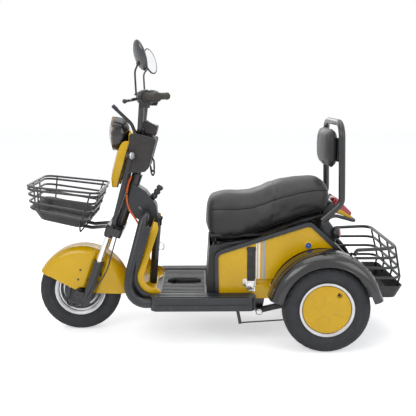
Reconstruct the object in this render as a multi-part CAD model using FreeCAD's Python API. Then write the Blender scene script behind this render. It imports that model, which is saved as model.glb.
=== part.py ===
import FreeCAD, Part
import math
import os

# Electric tricycle in millimetres: +Z up, front towards -Y, its left side towards +X.
# The origin lies on the ground, in the middle of the length and the width.
# Places on the front half are measured back from the front axle, on the rear half from the rear axle.

# Wheels
tyre_radius = 182.0
tyre_width = 80.0
tread_half = 20.0
bead_radius = 103.0
flange_radius = 114.5
flange_width = 62.0
flange_thick = 3.5
front_brake_face = 12.0
rim_depth = 14.0
hub_radius = 34.0
axle_radius = 12.0
wheelbase = 1058.0
half_track = 267.0

# Ends of the vehicle, ahead of the front axle and behind the rear axle
nose_ahead = 193.0
tail_behind = 347.0

# Steering head and fork
rake = 19.5
fork_offset = 72.0
leg_offset = 30.0
leg_spread = 80.0
stem_radius = 14.0
running_gap = 0.05
seat_gap = 0.3
head_radius = 24.0
head_low = 341.0
head_high = 582.0
crown_low = 290.0
crown_high = 336.0
stem_high = 650.0
leg_tube_radius = 13.5
slider_radius = 20.0
slider_low = -38.0
slider_high = 167.0

# Front mudguard
guard_radius = tyre_radius + 21.0
guard_back = 12.0
guard_half_width = 64.0
guard_thick = 3.0
guard_crown = 34.0

# Floor, steps and the frame below them
floor_front = 366.0
rail_height = 174.0
rail_radius = 14.0
rail_spread = 95.0
floor_top = rail_height + 39.0
floor_thick = 5.0
floor_half_width = 168.0
slot_half_width = 40.0
slot_front = 392.0
slot_length = 152.0
rib_height = 2.0
rib_width = 9.0
rib_pitch = 19.0
step_inner = 172.0
step_outer = 240.0
step_front = 331.0
step_rear_gap = -286.0
step_top = floor_top + 6.0
step_low = rail_height - 16.0
pedal_pivot = rail_height - 20.0

# Body under the seat, measured from the rear axle
box_front = -485.0
box_back = -235.0
box_slope = 8.0
box_high = 420.0
box_half_width = 150.0
box_wall = 4.0
panel_thick = 20.0
edge_thick = 26.0
edge_band = 15.0
battery_half_width = 74.0
battery_long = 190.0
battery_high = 190.0

# Rear mudguards
arch_radius = tyre_radius + 54.0
arch_inner = 203.0
arch_outer = 319.0
arch_roll = 44.0
arch_thick = 4.0
arch_skirt = tyre_radius + 4.0
arch_lip = tyre_radius + 26.0
arch_end = 10.0

# Seat, its hinge and the backrest
hinge_back = -468.0
hinge_height = 444.0
hinge_pin = 5.0
seat_half_width = 138.0
backrest_half = 160.0
backrest_tube = 14.0
backrest_high = 938.0
seat_rest = 532.4

# Handlebar
bar_radius = 11.0
bar_height = 1047.0
bar_half_width = 335.0
grip_radius = 17.0
grip_length = 118.0

# Baskets
wire = 3.0
thick_wire = 5.0
carrier_height = tyre_radius
tray_wall = 3.0

front_y = nose_ahead - (nose_ahead + wheelbase + tail_behind) / 2
rear_y = front_y + wheelbase
sin_rake = math.sin(math.radians(rake))
cos_rake = math.cos(math.radians(rake))
slanted = FreeCAD.Vector(0.31, 0.17, 0.94)
small_bend = 10.0
flat_turn = math.radians(30)
head_axis = FreeCAD.Vector(0, sin_rake, cos_rake)
rail_top = rail_height + rail_radius
rim_well = bead_radius - rim_depth

pieces = {}


def fore(x, y, z):
    return FreeCAD.Vector(x, front_y + y, z)


def aft(x, y, z):
    return FreeCAD.Vector(x, rear_y + y, z)


# A point given by its distance ahead of the steering axis and its distance up along it from the axle.
def on_head(x, ahead, up):
    lead = ahead - fork_offset
    return fore(x, up * sin_rake - lead * cos_rake, tyre_radius + up * cos_rake + lead * sin_rake)


def unit(vector):
    return vector * (1.0 / vector.Length)


# Straight runs joined by tangent arcs. Each corner is a point and its bend radius.
def bent_wire(corners, closed=False):
    joints = []
    for index, (point, bend) in enumerate(corners):
        at_end = not closed and index in (0, len(corners) - 1)
        if at_end or bend == 0:
            joints.append((point, None, point))
            continue
        back = unit(corners[index - 1][0] - point)
        ahead = unit(corners[(index + 1) % len(corners)][0] - point)
        half = back.getAngle(ahead) / 2
        reach = bend / math.tan(half)
        top = point + unit(back + ahead) * (bend / math.sin(half) - bend)
        joints.append((point + back * reach, top, point + ahead * reach))
    edges = []
    for index, (start, top, end) in enumerate(joints):
        if top is not None:
            edges.append(Part.Arc(start, top, end).toShape())
        if closed or index < len(joints) - 1:
            following = joints[(index + 1) % len(joints)][0]
            if (following - end).Length > 1e-6:
                edges.append(Part.makeLine(end, following))
    return Part.Wire(edges)


# The same path with each bend as a few flats: one flat on a small bend, about 30 degrees each on a large one.
def flats(corners, closed=False):
    points = []
    for index, (point, bend) in enumerate(corners):
        at_end = not closed and index in (0, len(corners) - 1)
        if at_end or bend == 0:
            points.append(point)
            continue
        back = unit(corners[index - 1][0] - point)
        ahead = unit(corners[(index + 1) % len(corners)][0] - point)
        half = back.getAngle(ahead) / 2
        centre = point + unit(back + ahead) * (bend / math.sin(half))
        first = point + back * (bend / math.tan(half)) - centre
        last = point + ahead * (bend / math.tan(half)) - centre
        turn = math.pi - 2 * half
        steps = 1 if bend < small_bend else max(1, round(turn / flat_turn))
        over = unit(first.cross(last).cross(first)) * bend
        for step in range(steps + 1):
            angle = turn * step / steps
            points.append(centre + first * math.cos(angle) + over * math.sin(angle))
    return points


# A round tube along the corners (point, bend).
def tube(corners, radius):
    start = corners[0][0]
    direction = unit(corners[1][0] - start)
    section = Part.Wire(Part.makeCircle(radius, start, direction))
    return bent_wire(corners).makePipeShell([section], True, False)


# A cord: a tube of eight sides whose route bends in true arcs.
def cord(corners, radius):
    start = corners[0][0]
    direction = unit(corners[1][0] - start)
    section = Part.makePolygon(ring_at(start, direction, unit(direction.cross(slanted)), radius, 8))
    return bent_wire(corners).makePipeShell([section], True, False)


def ring_at(point, direction, side, radius, sides):
    over = unit(direction.cross(side))
    ring = []
    for step in range(sides + 1):
        turn = (step + 0.5) * 2 * math.pi / sides
        ring.append(point + side * (radius * math.cos(turn)) + over * (radius * math.sin(turn)))
    return ring


# Rings of corner points along a path, each in the mitre plane between two runs, joined by flat faces.
def mitred(points, first_side, radius, sides, closed):
    runs = [unit(after - before) for before, after in zip(points, points[1:])]
    rings = [ring_at(points[0], runs[0], first_side, radius, sides)[:-1]]
    for index, run in enumerate(runs):
        end = points[index + 1]
        normal = run if index == len(runs) - 1 else unit(run + runs[index + 1])
        rings.append([corner + run * ((end - corner).dot(normal) / run.dot(normal)) for corner in rings[-1]])
    if closed:
        rings[-1] = rings[0]
    faces = []
    for before, after in zip(rings, rings[1:]):
        for corner in range(sides):
            following = (corner + 1) % sides
            faces.append(Part.Face(Part.makePolygon([before[corner], before[following], after[following],
                                                     after[corner], before[corner]])))
    if not closed:
        for ring in (rings[0], rings[-1]):
            faces.append(Part.Face(Part.makePolygon(ring + ring[:1])))
    solid = Part.Solid(Part.Shell(faces))
    if solid.Volume < 0:
        solid.reverse()
    return solid


# A bar of flat faces along the corners (point, bend).
def bar(corners, radius, sides=8):
    points = flats(corners)
    return mitred(points, unit((points[1] - points[0]).cross(slanted)), radius, sides, False)


# A closed flat loop of the same bar, which starts in the middle of its last run.
def ring_bar(corners, radius, sides=8):
    start = (corners[0][0] + corners[-1][0]) * 0.5
    points = [start] + flats(corners, closed=True) + [start]
    normal = unit((corners[0][0] - start).cross(corners[1][0] - start))
    return mitred(points, normal, radius, sides, True)


# A side view outline of (distance back, height, corner radius), as a plate from x_low to x_high.
def plate(outline, place, x_low, x_high):
    corners = [(place(x_low, y, z), bend) for y, z, bend in outline]
    face = Part.Face(bent_wire(corners, closed=True))
    return face.extrude(FreeCAD.Vector(x_high - x_low, 0, 0))


# A plan outline of (x, distance back, corner radius), as a slab from z_low to z_high.
def slab(outline, place, z_low, z_high):
    corners = [(place(x, y, z_low), bend) for x, y, bend in outline]
    face = Part.Face(bent_wire(corners, closed=True))
    return face.extrude(FreeCAD.Vector(0, 0, z_high - z_low))


# A front view outline of (x, height, corner radius), as a wall from y_low to y_high.
def wall(outline, place, y_low, y_high):
    corners = [(place(x, y_low, z), bend) for x, z, bend in outline]
    face = Part.Face(bent_wire(corners, closed=True))
    return face.extrude(FreeCAD.Vector(0, y_high - y_low, 0))


# A turned form: section of (x, radius, corner radius) about a cross axle through the centre, its bends in flats.
def turned(section, centre, first=0.0, sweep=360.0):
    corners = flats([(centre + FreeCAD.Vector(x, 0, r), bend) for x, r, bend in section], closed=True)
    face = Part.Face(Part.makePolygon(corners + corners[:1]))
    face.rotate(centre, FreeCAD.Vector(1, 0, 0), first)
    return face.revolve(centre, FreeCAD.Vector(1, 0, 0), sweep)


def rod(start, end, radius):
    return Part.makeCylinder(radius, (end - start).Length, start, end - start)


def cross_rod(place, half, y, z, radius):
    return rod(place(-half, y, z), place(half, y, z), radius)


# A flat bar between two points, its width across the side view and its thickness in X.
def flat_bar(start, end, width, thick):
    along = end - start
    side = unit(along.cross(FreeCAD.Vector(1, 0, 0))) * (width / 2)
    base = start - FreeCAD.Vector(thick / 2, 0, 0)
    face = Part.Face(Part.makePolygon([base - side, base + side, base + side + along, base - side + along,
                                       base - side]))
    return face.extrude(FreeCAD.Vector(thick, 0, 0))


def mirrored(shape):
    return shape.mirror(FreeCAD.Vector(0, 0, 0), FreeCAD.Vector(1, 0, 0))


def both(shape):
    return Part.Compound([shape, mirrored(shape)])


def joined(shapes):
    return shapes[0].fuse(shapes[1:])


# A rectangle with one corner radius, as outline corners.
def rectangle(low_a, low_b, high_a, high_b, bend):
    return [(low_a, low_b, bend), (high_a, low_b, bend), (high_a, high_b, bend), (low_a, high_b, bend)]


def make_tyre(centre):
    half = tyre_width / 2
    seat = flange_width / 2 - flange_thick
    right = [(seat, bead_radius, 0), (seat, flange_radius + 2, 0), (half, 136, 0), (half, 158, 0),
             (tread_half, tyre_radius, 0)]
    left = [(-x, radius, bend) for x, radius, bend in reversed(right)]
    return turned(right + left, centre)


# A pressed rim: flanges, bead seats and a disc that steps down to the hub. outer is 1 or -1.
def make_rim(centre, outer, hub_in, hub_out, web):
    half = flange_width / 2
    seat = half - flange_thick
    barrel = turned([(-half, rim_well, 0), (-half, flange_radius, 0), (-seat, flange_radius, 0),
                     (-seat, bead_radius, 0), (seat, bead_radius, 0), (seat, flange_radius, 0),
                     (half, flange_radius, 0), (half, rim_well, 0)], centre)
    low = web * outer - 2
    step = low + 8 * outer
    disc = turned([(low, hub_radius - 3, 0), (low + 4, hub_radius - 3, 0), (low + 4, hub_radius + 15, 0),
                   (step + 4, hub_radius + 25, 0), (step + 4, rim_well + 1, 0), (step, rim_well + 1, 0),
                   (step, hub_radius + 23, 0), (low, hub_radius + 13, 0)], centre)
    ends = sorted((-hub_in * outer, hub_out * outer))
    hub = turned([(ends[0], axle_radius, 0), (ends[0], hub_radius, 0), (ends[1], hub_radius, 0),
                  (ends[1], axle_radius, 0)], centre)
    return joined([barrel, disc, hub])


def make_hub_cap(centre, side):
    face = side * (flange_width / 2 - 5)
    back = side * (flange_width / 2 - 14)
    reach = rim_well - 0.1
    dish = turned([(back, 30, 0), (back, reach, 0), (face, reach, 3), (face + side * 3, reach - 14, 3),
                   (face + side * 3, 32, 2), (face + side * 7, 26, 2), (face + side * 7, 0, 0),
                   (back + side * 4, 0, 0), (back + side * 4, 30, 0)], centre)
    ribs = []
    for turn in range(6):
        rib = Part.makeBox(6, 4, 26, FreeCAD.Vector(min(face, face + side * 5.5), -2, 42))
        rib.rotate(FreeCAD.Vector(0, 0, 0), FreeCAD.Vector(1, 0, 0), 60 * turn + 20)
        rib.translate(centre)
        ribs.append(rib)
    notch = rod(FreeCAD.Vector(back - side * 2, 0, 0), FreeCAD.Vector(face + side * 12, 0, 0), 11)
    notch.translate(centre + FreeCAD.Vector(0, 48, 58))
    return joined([dish] + ribs).cut(notch)


front_centre = fore(0, 0, tyre_radius)
pieces["front_tyre"] = make_tyre(front_centre)
pieces["front_rim"] = make_rim(front_centre, 1, 36, front_brake_face, -12)
for side_name, side in (("left", 1), ("right", -1)):
    centre = aft(side * half_track, 0, tyre_radius)
    pieces["rear_tyre_" + side_name] = make_tyre(centre)
    pieces["rear_rim_" + side_name] = make_rim(centre, side, 30, 14, -6)
    pieces["hub_cap_" + side_name] = make_hub_cap(centre, side)


# Fork: crown with stem and clamps, and the lower legs with their axle lugs.
def make_fork():
    width = leg_spread + 24
    corners = [(on_head(-width, -24, crown_low + 12), 12), (on_head(width, -24, crown_low + 12), 12),
               (on_head(width, leg_offset + 20, crown_low + 12), 12),
               (on_head(-width, leg_offset + 20, crown_low + 12), 12)]
    face = Part.Face(bent_wire(corners, closed=True))
    parts = [face.extrude(head_axis * (crown_high - crown_low - 12))]
    parts.append(rod(on_head(0, 0, crown_low + 4), on_head(0, 0, stem_high), stem_radius))
    for side in (1, -1):
        x = side * leg_spread
        parts.append(rod(on_head(x, leg_offset, crown_low), on_head(x, leg_offset, crown_high + 8), 19))
    return joined(parts)


def make_sliders():
    legs = []
    for side in (1, -1):
        x = side * leg_spread
        legs.append(joined([
            rod(on_head(x, leg_offset, slider_low), on_head(x, leg_offset, slider_high), slider_radius),
            rod(on_head(x, leg_offset, slider_high - 20), on_head(x, leg_offset, slider_high + 4),
                slider_radius + 2.5),
            rod(on_head(x - side * 10, fork_offset, 0), on_head(x + side * 12, fork_offset, 0), 16),
            flat_bar(on_head(x, leg_offset, 0), on_head(x, fork_offset, 0), 32, 18),
            guard_bracket(x, side)]))
    return legs


# The bracket on each leg that the mudguard's skirt is bolted to, just inside the skirt.
def guard_bracket(x, side):
    inside = side * (guard_half_width - guard_thick - seat_gap)
    strap_x = inside - side * 1.5
    foot_x = inside - side * 0.5
    strap = flat_bar(on_head(strap_x, leg_offset + 44, 70), on_head(strap_x, -26, 70), 16, 3)
    foot = flat_bar(on_head(foot_x, leg_offset + 14, 70), on_head(foot_x, leg_offset - 14, 70), 16, 7)
    return strap.fuse(foot)


fork_tubes = []
for side in (1, -1):
    x = side * leg_spread
    fork_tubes.append(rod(on_head(x, leg_offset, slider_high + 4), on_head(x, leg_offset, crown_low),
                          leg_tube_radius))
pieces["fork"] = Part.Compound([make_fork()] + make_sliders())
pieces["fork_tubes"] = Part.Compound(fork_tubes)


# Mudguard: a crowned arch with skirts, cut along the legs and below.
def make_front_guard():
    centre = fore(0, guard_back, tyre_radius)
    half = guard_half_width
    radius = guard_radius
    inner = radius - guard_thick
    solid = turned([(-half, 60, 0), (-half, radius, guard_crown), (half, radius, guard_crown), (half, 60, 0)],
                   centre)
    hollow = turned([(-half + guard_thick, 50, 0), (-half + guard_thick, inner, guard_crown - guard_thick),
                     (half - guard_thick, inner, guard_crown - guard_thick), (half - guard_thick, 50, 0)],
                    centre)
    shell = solid.cut(hollow)
    reach = radius + 20
    kept = plate([(-reach, 275, 0), (-153, 275, 8), (-22, 180, 24), (30, 183, 0), (30, 175, 0),
                  (reach + 30, 175, 0), (reach + 30, 500, 0), (-reach, 500, 0)], fore, -half - 1, half + 1)
    shell = shell.common(kept)
    for side in (1, -1):
        leg = rod(on_head(side * leg_spread, leg_offset, slider_low - 60),
                  on_head(side * leg_spread, leg_offset, slider_high + 90), slider_radius + 5)
        shell = shell.cut(leg)
    return shell


pieces["front_guard"] = make_front_guard()


# Drum plate with its lever, on the front axle.
def make_front_brake():
    side = leg_spread - 10
    axle = rod(on_head(-side, fork_offset, 0), on_head(side, fork_offset, 0), axle_radius - running_gap - 2)
    sleeve = rod(on_head(-36, fork_offset, 0), on_head(front_brake_face, fork_offset, 0),
                 axle_radius - running_gap)
    drum = turned([(front_brake_face + 5, 0, 0), (front_brake_face + 5, 66, 0), (front_brake_face + 12, 72, 3),
                   (front_brake_face + 26, 62, 6), (front_brake_face + 30, 24, 4), (side - 0.2, 20, 0),
                   (side - 0.2, 0, 0)], front_centre)
    spacer = turned([(-side + 0.2, 0, 0), (-side + 0.2, 16, 0), (-36 - 1, 16, 0), (-36 - 1, 0, 0)], front_centre)
    lever = flat_bar(fore(front_brake_face + 32, -40, tyre_radius + 30),
                     fore(front_brake_face + 32, -58, tyre_radius - 36), 16, 5)
    pivot = rod(fore(front_brake_face + 24, -42, tyre_radius + 24),
                fore(front_brake_face + 38, -42, tyre_radius + 24), 8)
    body = joined([axle, sleeve, drum, spacer, lever, pivot])
    for leg in pieces["fork"].Solids:
        body = body.cut(leg)
    return body


pieces["front_brake"] = make_front_brake()

# Basket ahead of the bars. Side view corners of the rim and of the tray: front then back.
basket_rim = ((-nose_ahead + thick_wire, 676.0), (112.0, 645.0))
basket_tray = ((-nose_ahead + thick_wire + 4, 580.0), (66.0, 522.0))
basket_half_width = 174.0
basket_tray_half = 150.0
basket_tray_deep = 44.0


def basket_ring(level, radius, back_bend=30):
    (front_a, high_a), (back_a, deep_a) = basket_rim
    (front_b, high_b), (back_b, deep_b) = basket_tray
    x = basket_half_width + (basket_tray_half - basket_half_width) * level
    front = (front_a + (front_b - front_a) * level, high_a + (high_b - high_a) * level)
    back = (back_a + (back_b - back_a) * level, deep_a + (deep_b - deep_a) * level)
    corners = [(fore(x, back[0], back[1]), back_bend), (fore(x, front[0], front[1]), 45),
               (fore(-x, front[0], front[1]), 45), (fore(-x, back[0], back[1]), back_bend)]
    return ring_bar(corners, radius, 6)


def basket_upright(part_x, part_y, radius):
    (front_a, high_a), (back_a, deep_a) = basket_rim
    (front_b, high_b), (back_b, deep_b) = basket_tray
    top = fore(basket_half_width * part_x, front_a + (back_a - front_a) * part_y,
               high_a + (deep_a - high_a) * part_y)
    foot = fore(basket_tray_half * part_x, front_b + (back_b - front_b) * part_y,
                high_b + (deep_b - high_b) * part_y)
    return bar([(top, 0), (foot, 0)], radius, 6)


def make_basket_frame():
    parts = [basket_ring(0.0, thick_wire), basket_ring(0.38, wire + 0.5), basket_ring(0.7, wire + 0.5),
             basket_ring(1.0, wire + 1)]
    for part_x, part_y in ((1, 0.2), (1, 0.8), (-1, 0.2), (-1, 0.8), (0.45, 0), (-0.45, 0),
                           (0.6, 1), (0.2, 1), (-0.2, 1), (-0.6, 1)):
        parts.append(basket_upright(part_x, part_y, wire + 0.5))
    return joined(parts)


# Two arms from the crown and the strap below the tray.
def make_basket_bracket():
    parts = []
    for side in (1, -1):
        parts.append(bar([(on_head(side * 40, leg_offset + 18, crown_high - 14), 0),
                          (fore(side * 40, 60, basket_tray[1][1] - basket_tray_deep - 6), 30),
                          (fore(side * 40, -120, basket_tray[0][1] - basket_tray_deep - 22), 0)], 8))
    low = basket_tray[1][1] - basket_tray_deep - 2
    parts.append(bar([(fore(basket_tray_half, 30, 530), 0), (fore(basket_tray_half, 30, low), 14),
                      (fore(-basket_tray_half, 30, low), 14), (fore(-basket_tray_half, 30, 530), 0)],
                     wire + 0.5, 6))
    return joined(parts)


# A tray that tapers downward, with a lip that lies on its ring.
def make_tray(corners_high, corners_low, bends, thick):
    outer = []
    inner = []
    for corners in (corners_high, corners_low):
        outer.append(bent_wire([(point, bend) for point, bend in zip(corners, bends)], closed=True))
    middle = sum(corners_high, FreeCAD.Vector()) * 0.25
    for corners, drop in ((corners_high, thick), (corners_low, thick)):
        ring = []
        for point, bend in zip(corners, bends):
            inward = FreeCAD.Vector(middle.x - point.x, middle.y - point.y, 0)
            step = FreeCAD.Vector(thick * (1 if inward.x > 0 else -1), thick * (1 if inward.y > 0 else -1), drop)
            ring.append((point + step, max(bend - thick, 2)))
        inner.append(bent_wire(ring, closed=True))
    shell = Part.makeLoft(outer, True, True).cut(Part.makeLoft(inner, True, True))
    return shell


def make_basket_tray():
    (front, high), (back, deep) = basket_tray
    x = basket_tray_half - wire - 2
    inset = 26
    top = [fore(x, front + 8, high + 2), fore(x, back - 8, deep + 2), fore(-x, back - 8, deep + 2),
           fore(-x, front + 8, high + 2)]
    low_x = x - inset
    bottom = [fore(low_x, front + 8 + inset, high - basket_tray_deep - 8),
              fore(low_x, back - 8 - inset, deep - basket_tray_deep + 8),
              fore(-low_x, back - 8 - inset, deep - basket_tray_deep + 8),
              fore(-low_x, front + 8 + inset, high - basket_tray_deep - 8)]
    return make_tray(top, bottom, (34, 34, 34, 34), tray_wall)


basket_frame = make_basket_frame()
basket_bracket = make_basket_bracket().cut(pieces["fork"].Solids[0]).cut(basket_frame)
pieces["basket_bracket"] = basket_bracket
pieces["basket_tray"] = make_basket_tray().cut(basket_frame).cut(basket_bracket)
pieces["basket_frame"] = basket_frame

# Lamp, mask, box and pod on the steering stem
lamp_centre = fore(0, 196, 887)
lamp_radius = 77.0
lamp_deep = 62.0


def make_headlight():
    along = FreeCAD.Vector(0, -1, 0)
    profile = [(lamp_centre + FreeCAD.Vector(0, -36, 0), 0), (lamp_centre + FreeCAD.Vector(0, -36, lamp_radius), 3),
               (lamp_centre + FreeCAD.Vector(0, -20, lamp_radius), 8),
               (lamp_centre + FreeCAD.Vector(0, 20, lamp_radius - 8), 30),
               (lamp_centre + FreeCAD.Vector(0, 34, 30), 12), (lamp_centre + FreeCAD.Vector(0, 34, 0), 0)]
    corners = flats(profile, closed=True)
    shell = Part.Face(Part.makePolygon(corners + corners[:1])).revolve(lamp_centre, along, 360)
    hollow = rod(lamp_centre + FreeCAD.Vector(0, -37, 0), lamp_centre + FreeCAD.Vector(0, -30, 0), lamp_radius - 4)
    boss = rod(lamp_centre + FreeCAD.Vector(0, 26, 0), lamp_centre + FreeCAD.Vector(0, 54, -18), 14)
    return shell.cut(hollow).fuse(boss)


def make_headlight_lens():
    profile = [(-30, 0), (-54, 0), (-52, 28), (-46, 52), (-37, lamp_radius - 4.2), (-30, lamp_radius - 4.2)]
    corners = [lamp_centre + FreeCAD.Vector(0, y, radius) for y, radius in profile]
    face = Part.Face(Part.makePolygon(corners + corners[:1]))
    return face.revolve(lamp_centre, FreeCAD.Vector(0, -1, 0), 360)


def make_front_mask():
    solid = plate([(266, 893, 6), (240, 896, 20), (203, 864, 30), (184, 815, 40), (150, 690, 14),
                   (150, 668, 14), (172, 650, 8), (216, 786, 40), (233, 848, 40)], fore, -72, 72)
    solid = solid.common(wall([(-46, 645, 20), (46, 645, 20), (72, 800, 40), (70, 900, 30), (-70, 900, 30),
                               (-72, 800, 40)], fore, 100, 300))
    lamp = rod(lamp_centre + FreeCAD.Vector(0, -40, 0), lamp_centre + FreeCAD.Vector(0, 38, 0), lamp_radius + 1)
    return solid.cut(lamp)


def make_dash_box():
    box = plate([(238, 884, 10), (262, 892, 6), (350, 864, 10), (332, 800, 10), (316, 742, 14), (300, 726, 12),
                 (226, 722, 8), (236, 790, 30)], fore, -78, 78)
    pod = plate([(288, 934, 6), (300, 946, 10), (356, 918, 8), (346, 876, 6), (300, 890, 6)], fore, -44, 44)
    neck = plate([(290, 874, 0), (332, 868, 0), (332, 900, 0), (296, 905, 0)], fore, -30, 30)
    return joined([box, pod, neck])


headlight = make_headlight()
stem = rod(on_head(0, 0, crown_low), on_head(0, 0, stem_high), stem_radius)
mask = make_front_mask().cut(headlight)
pieces["headlight"] = headlight
pieces["headlight_lens"] = make_headlight_lens().cut(headlight)
dash_box = make_dash_box().cut(stem).cut(headlight)
pieces["front_mask"] = mask.cut(dash_box)
stays = []
for side in (1, -1):
    stays.append(flat_bar(on_head(side * 81, 22, crown_high - 8), fore(side * 81, 246, 812), 18, 5))
pieces["lamp_stays"] = Part.Compound([stay.cut(pieces["fork"].Solids[0]).cut(dash_box) for stay in stays])
pieces["dash_box"] = dash_box

indicators = []
for side in (1, -1):
    indicators.append(rod(fore(side * 112, 226, 800), fore(side * 112, 262, 796), 17).fuse(
        rod(fore(side * 78, 250, 798), fore(side * 112, 250, 798), 7)).cut(pieces["lamp_stays"]))
pieces["front_indicators"] = Part.Compound(indicators)

# Handlebar with its risers, grips, controls and mirrors
bar_corners = [(fore(bar_half_width, 378, bar_height), 0), (fore(205, 318, bar_height), 70),
               (fore(118, 296, bar_height - 2), 45), (fore(78, 282, 905), 30), (fore(40, 280, 896), 0)]


def make_handlebar():
    half = tube(bar_corners, bar_radius)
    bridge = rod(fore(-44, 280, 896), fore(44, 280, 896), bar_radius + 3)
    cross = rod(fore(-100, 290, 1000), fore(100, 290, 1000), 7)
    return joined([half, mirrored(half), bridge, cross])


def along_grip(start_part, end_part):
    tip = bar_corners[0][0]
    root = bar_corners[1][0]
    direction = unit(root - tip)
    return tip + direction * start_part, tip + direction * end_part


def make_grip():
    start, end = along_grip(-2.0, grip_length)
    grip = rod(start, end, grip_radius)
    flange_start, flange_end = along_grip(grip_length - 5, grip_length)
    grip = grip.fuse(rod(flange_start, flange_end, grip_radius + 5))
    return grip


def make_controls():
    start, end = along_grip(grip_length + 0.5, grip_length + 34)
    switch = rod(start, end, 27)
    drop = Part.makeBox(34, 40, 52, end + FreeCAD.Vector(0, -18, -44))
    perch_start, perch_end = along_grip(grip_length + 36, grip_length + 56)
    perch = rod(perch_start, perch_end, 16)
    ahead = perch_end + FreeCAD.Vector(10, -44, -12)
    arm = bar([(perch_end + FreeCAD.Vector(4, 0, -4), 0), (ahead, 20),
               (ahead + FreeCAD.Vector(130, -12, -4), 0)], 6.5)
    ball = Part.makeSphere(9, ahead + FreeCAD.Vector(130, -12, -4))
    return joined([switch, drop, perch, arm, ball])


handlebar = make_handlebar()
grip = make_grip()
bar_core = tube(bar_corners, bar_radius)
controls = make_controls()
pieces["grips"] = both(grip.cut(bar_core))
pieces["controls"] = both(controls.cut(bar_core).cut(grip))

# Mirrors: a domed shell on a bent stem, turned in and up towards the rider.
mirror_tall = 64.0
mirror_wide = 46.0
mirror_deep = 20.0
mirror_turn = 30.0
mirror_tilt = 17.0
mirror_sides = 20
mirror_glass_part = 0.9


# An upright oval of flats, seen from behind, at a depth ahead of the glass.
def mirror_oval(deep, scale):
    ring = []
    for step in range(mirror_sides + 1):
        turn = 2 * math.pi * step / mirror_sides
        ring.append(FreeCAD.Vector(mirror_wide * scale * math.sin(turn), -deep,
                                   mirror_tall * scale * math.cos(turn)))
    return Part.makePolygon(ring)


mirror_pose = FreeCAD.Rotation(FreeCAD.Vector(0, 0, 1), mirror_turn).multiply(
    FreeCAD.Rotation(FreeCAD.Vector(1, 0, 0), mirror_tilt))


def seen_from_behind(point):
    return mirror_pose.multVec(point)


def make_mirror():
    foot, clamp = along_grip(grip_length + 44, grip_length + 50)
    centre = fore(foot.x + 44, 306, 1212)
    stem_low = foot + FreeCAD.Vector(0, 0, 12)
    stem = bar([(stem_low, 0), (FreeCAD.Vector(foot.x + 2, foot.y - 16, 1098), 12),
                (centre + seen_from_behind(FreeCAD.Vector(0, -9, -34)), 0)], 4)
    shell = Part.makeLoft([mirror_oval(deep, scale) for deep, scale in
                           ((0, 1.0), (9, 0.97), (mirror_deep, 0.45))], True, True)
    glass = Part.makeLoft([mirror_oval(-0.5, mirror_glass_part), mirror_oval(2, mirror_glass_part)], True, True)
    for shape in (shell, glass):
        shape.Placement = FreeCAD.Placement(centre, mirror_pose)
    return shell.cut(glass).fuse(stem), glass


mirror, mirror_glass = make_mirror()
pieces["mirrors"] = both(mirror.cut(controls).cut(bar_core))
pieces["mirror_glass"] = both(mirror_glass)
pieces["handlebar"] = handlebar.cut(dash_box)


# Frame: steering head, neck and the floor rails that rise to the tail.
def make_main_frame():
    head = rod(on_head(0, 0, head_low), on_head(0, 0, head_high), head_radius)
    neck = bar([(on_head(0, 0, 452), 0), (fore(0, 300, 590), 55), (fore(0, 350, 500), 60),
                (fore(0, 322, rail_height), 0)], 17)
    parts = [head, neck, cross_rod(fore, rail_spread, 322, rail_height, rail_radius),
             cross_rod(fore, step_outer - 20, 420, rail_height, 9),
             cross_rod(aft, step_outer - 20, -360, rail_height, 9),
             cross_rod(aft, rail_spread, -300, rail_height, 12)]
    for side in (1, -1):
        x = side * rail_spread
        lower = bar([(fore(x, 322, rail_height), 0), (aft(x, -298, rail_height), 80),
                     (aft(x, -150, 330), 80), (aft(x, 66, 420), 0)], rail_radius)
        lug = plate([(-290, rail_height, 0), (-234, rail_height, 0), (-248, 104, 12), (-276, 104, 12)], aft,
                    x - 4, x + 4)
        parts += [lower, lug]
    bore = rod(on_head(0, 0, head_low - 5), on_head(0, 0, head_high + 5), stem_radius + running_gap)
    return joined(parts).cut(bore)


# Upper loop under the seat, with the hinge ears, the mudguard rods and the posts for the seat and backrest.
def make_seat_frame():
    parts = [cross_rod(aft, arch_inner, -92, tyre_radius + 197.6, 7),
             cross_rod(aft, rail_spread, -455, 402, 10),
             cross_rod(aft, backrest_half, 6, 518, 11),
             cross_rod(aft, 58, hinge_back, hinge_height, hinge_pin)]
    for side in (1, -1):
        x = side * rail_spread
        upper = bar([(aft(x, -455, rail_height), 0), (aft(x, -455, 402), 40), (aft(x, 24, 470), 30),
                     (aft(x, 66, 420), 0)], rail_radius - 2)
        strut = rod(aft(x, -92, 350), aft(x, -92, 456), 9)
        post = rod(aft(x, 6, 466), aft(x, 6, 518), 9)
        rest = rod(aft(side * 60, 6, 518), aft(side * 60, 6, seat_rest), 8)
        ear = flat_bar(aft(side * 54, -455, 402), aft(side * 54, hinge_back - 1, hinge_height + 4), 16, 6)
        parts += [upper, strut, post, rest, ear]
    return joined(parts)


def make_rear_carrier():
    parts = [cross_rod(aft, arch_inner, 60, tyre_radius + 209.6, 7)]
    for side in (1, -1):
        x = side * rail_spread
        parts.append(bar([(aft(x, 56, 409), 0), (aft(x, 84, 300), 30), (aft(x, 100, carrier_height), 40),
                          (aft(x, 330, carrier_height), 0)], 8))
    return joined(parts)


floor_frame = make_main_frame()
seat_frame = make_seat_frame().cut(floor_frame)
rear_carrier = make_rear_carrier().cut(floor_frame).cut(seat_frame)
main_frame = joined([floor_frame, seat_frame, rear_carrier])


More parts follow.
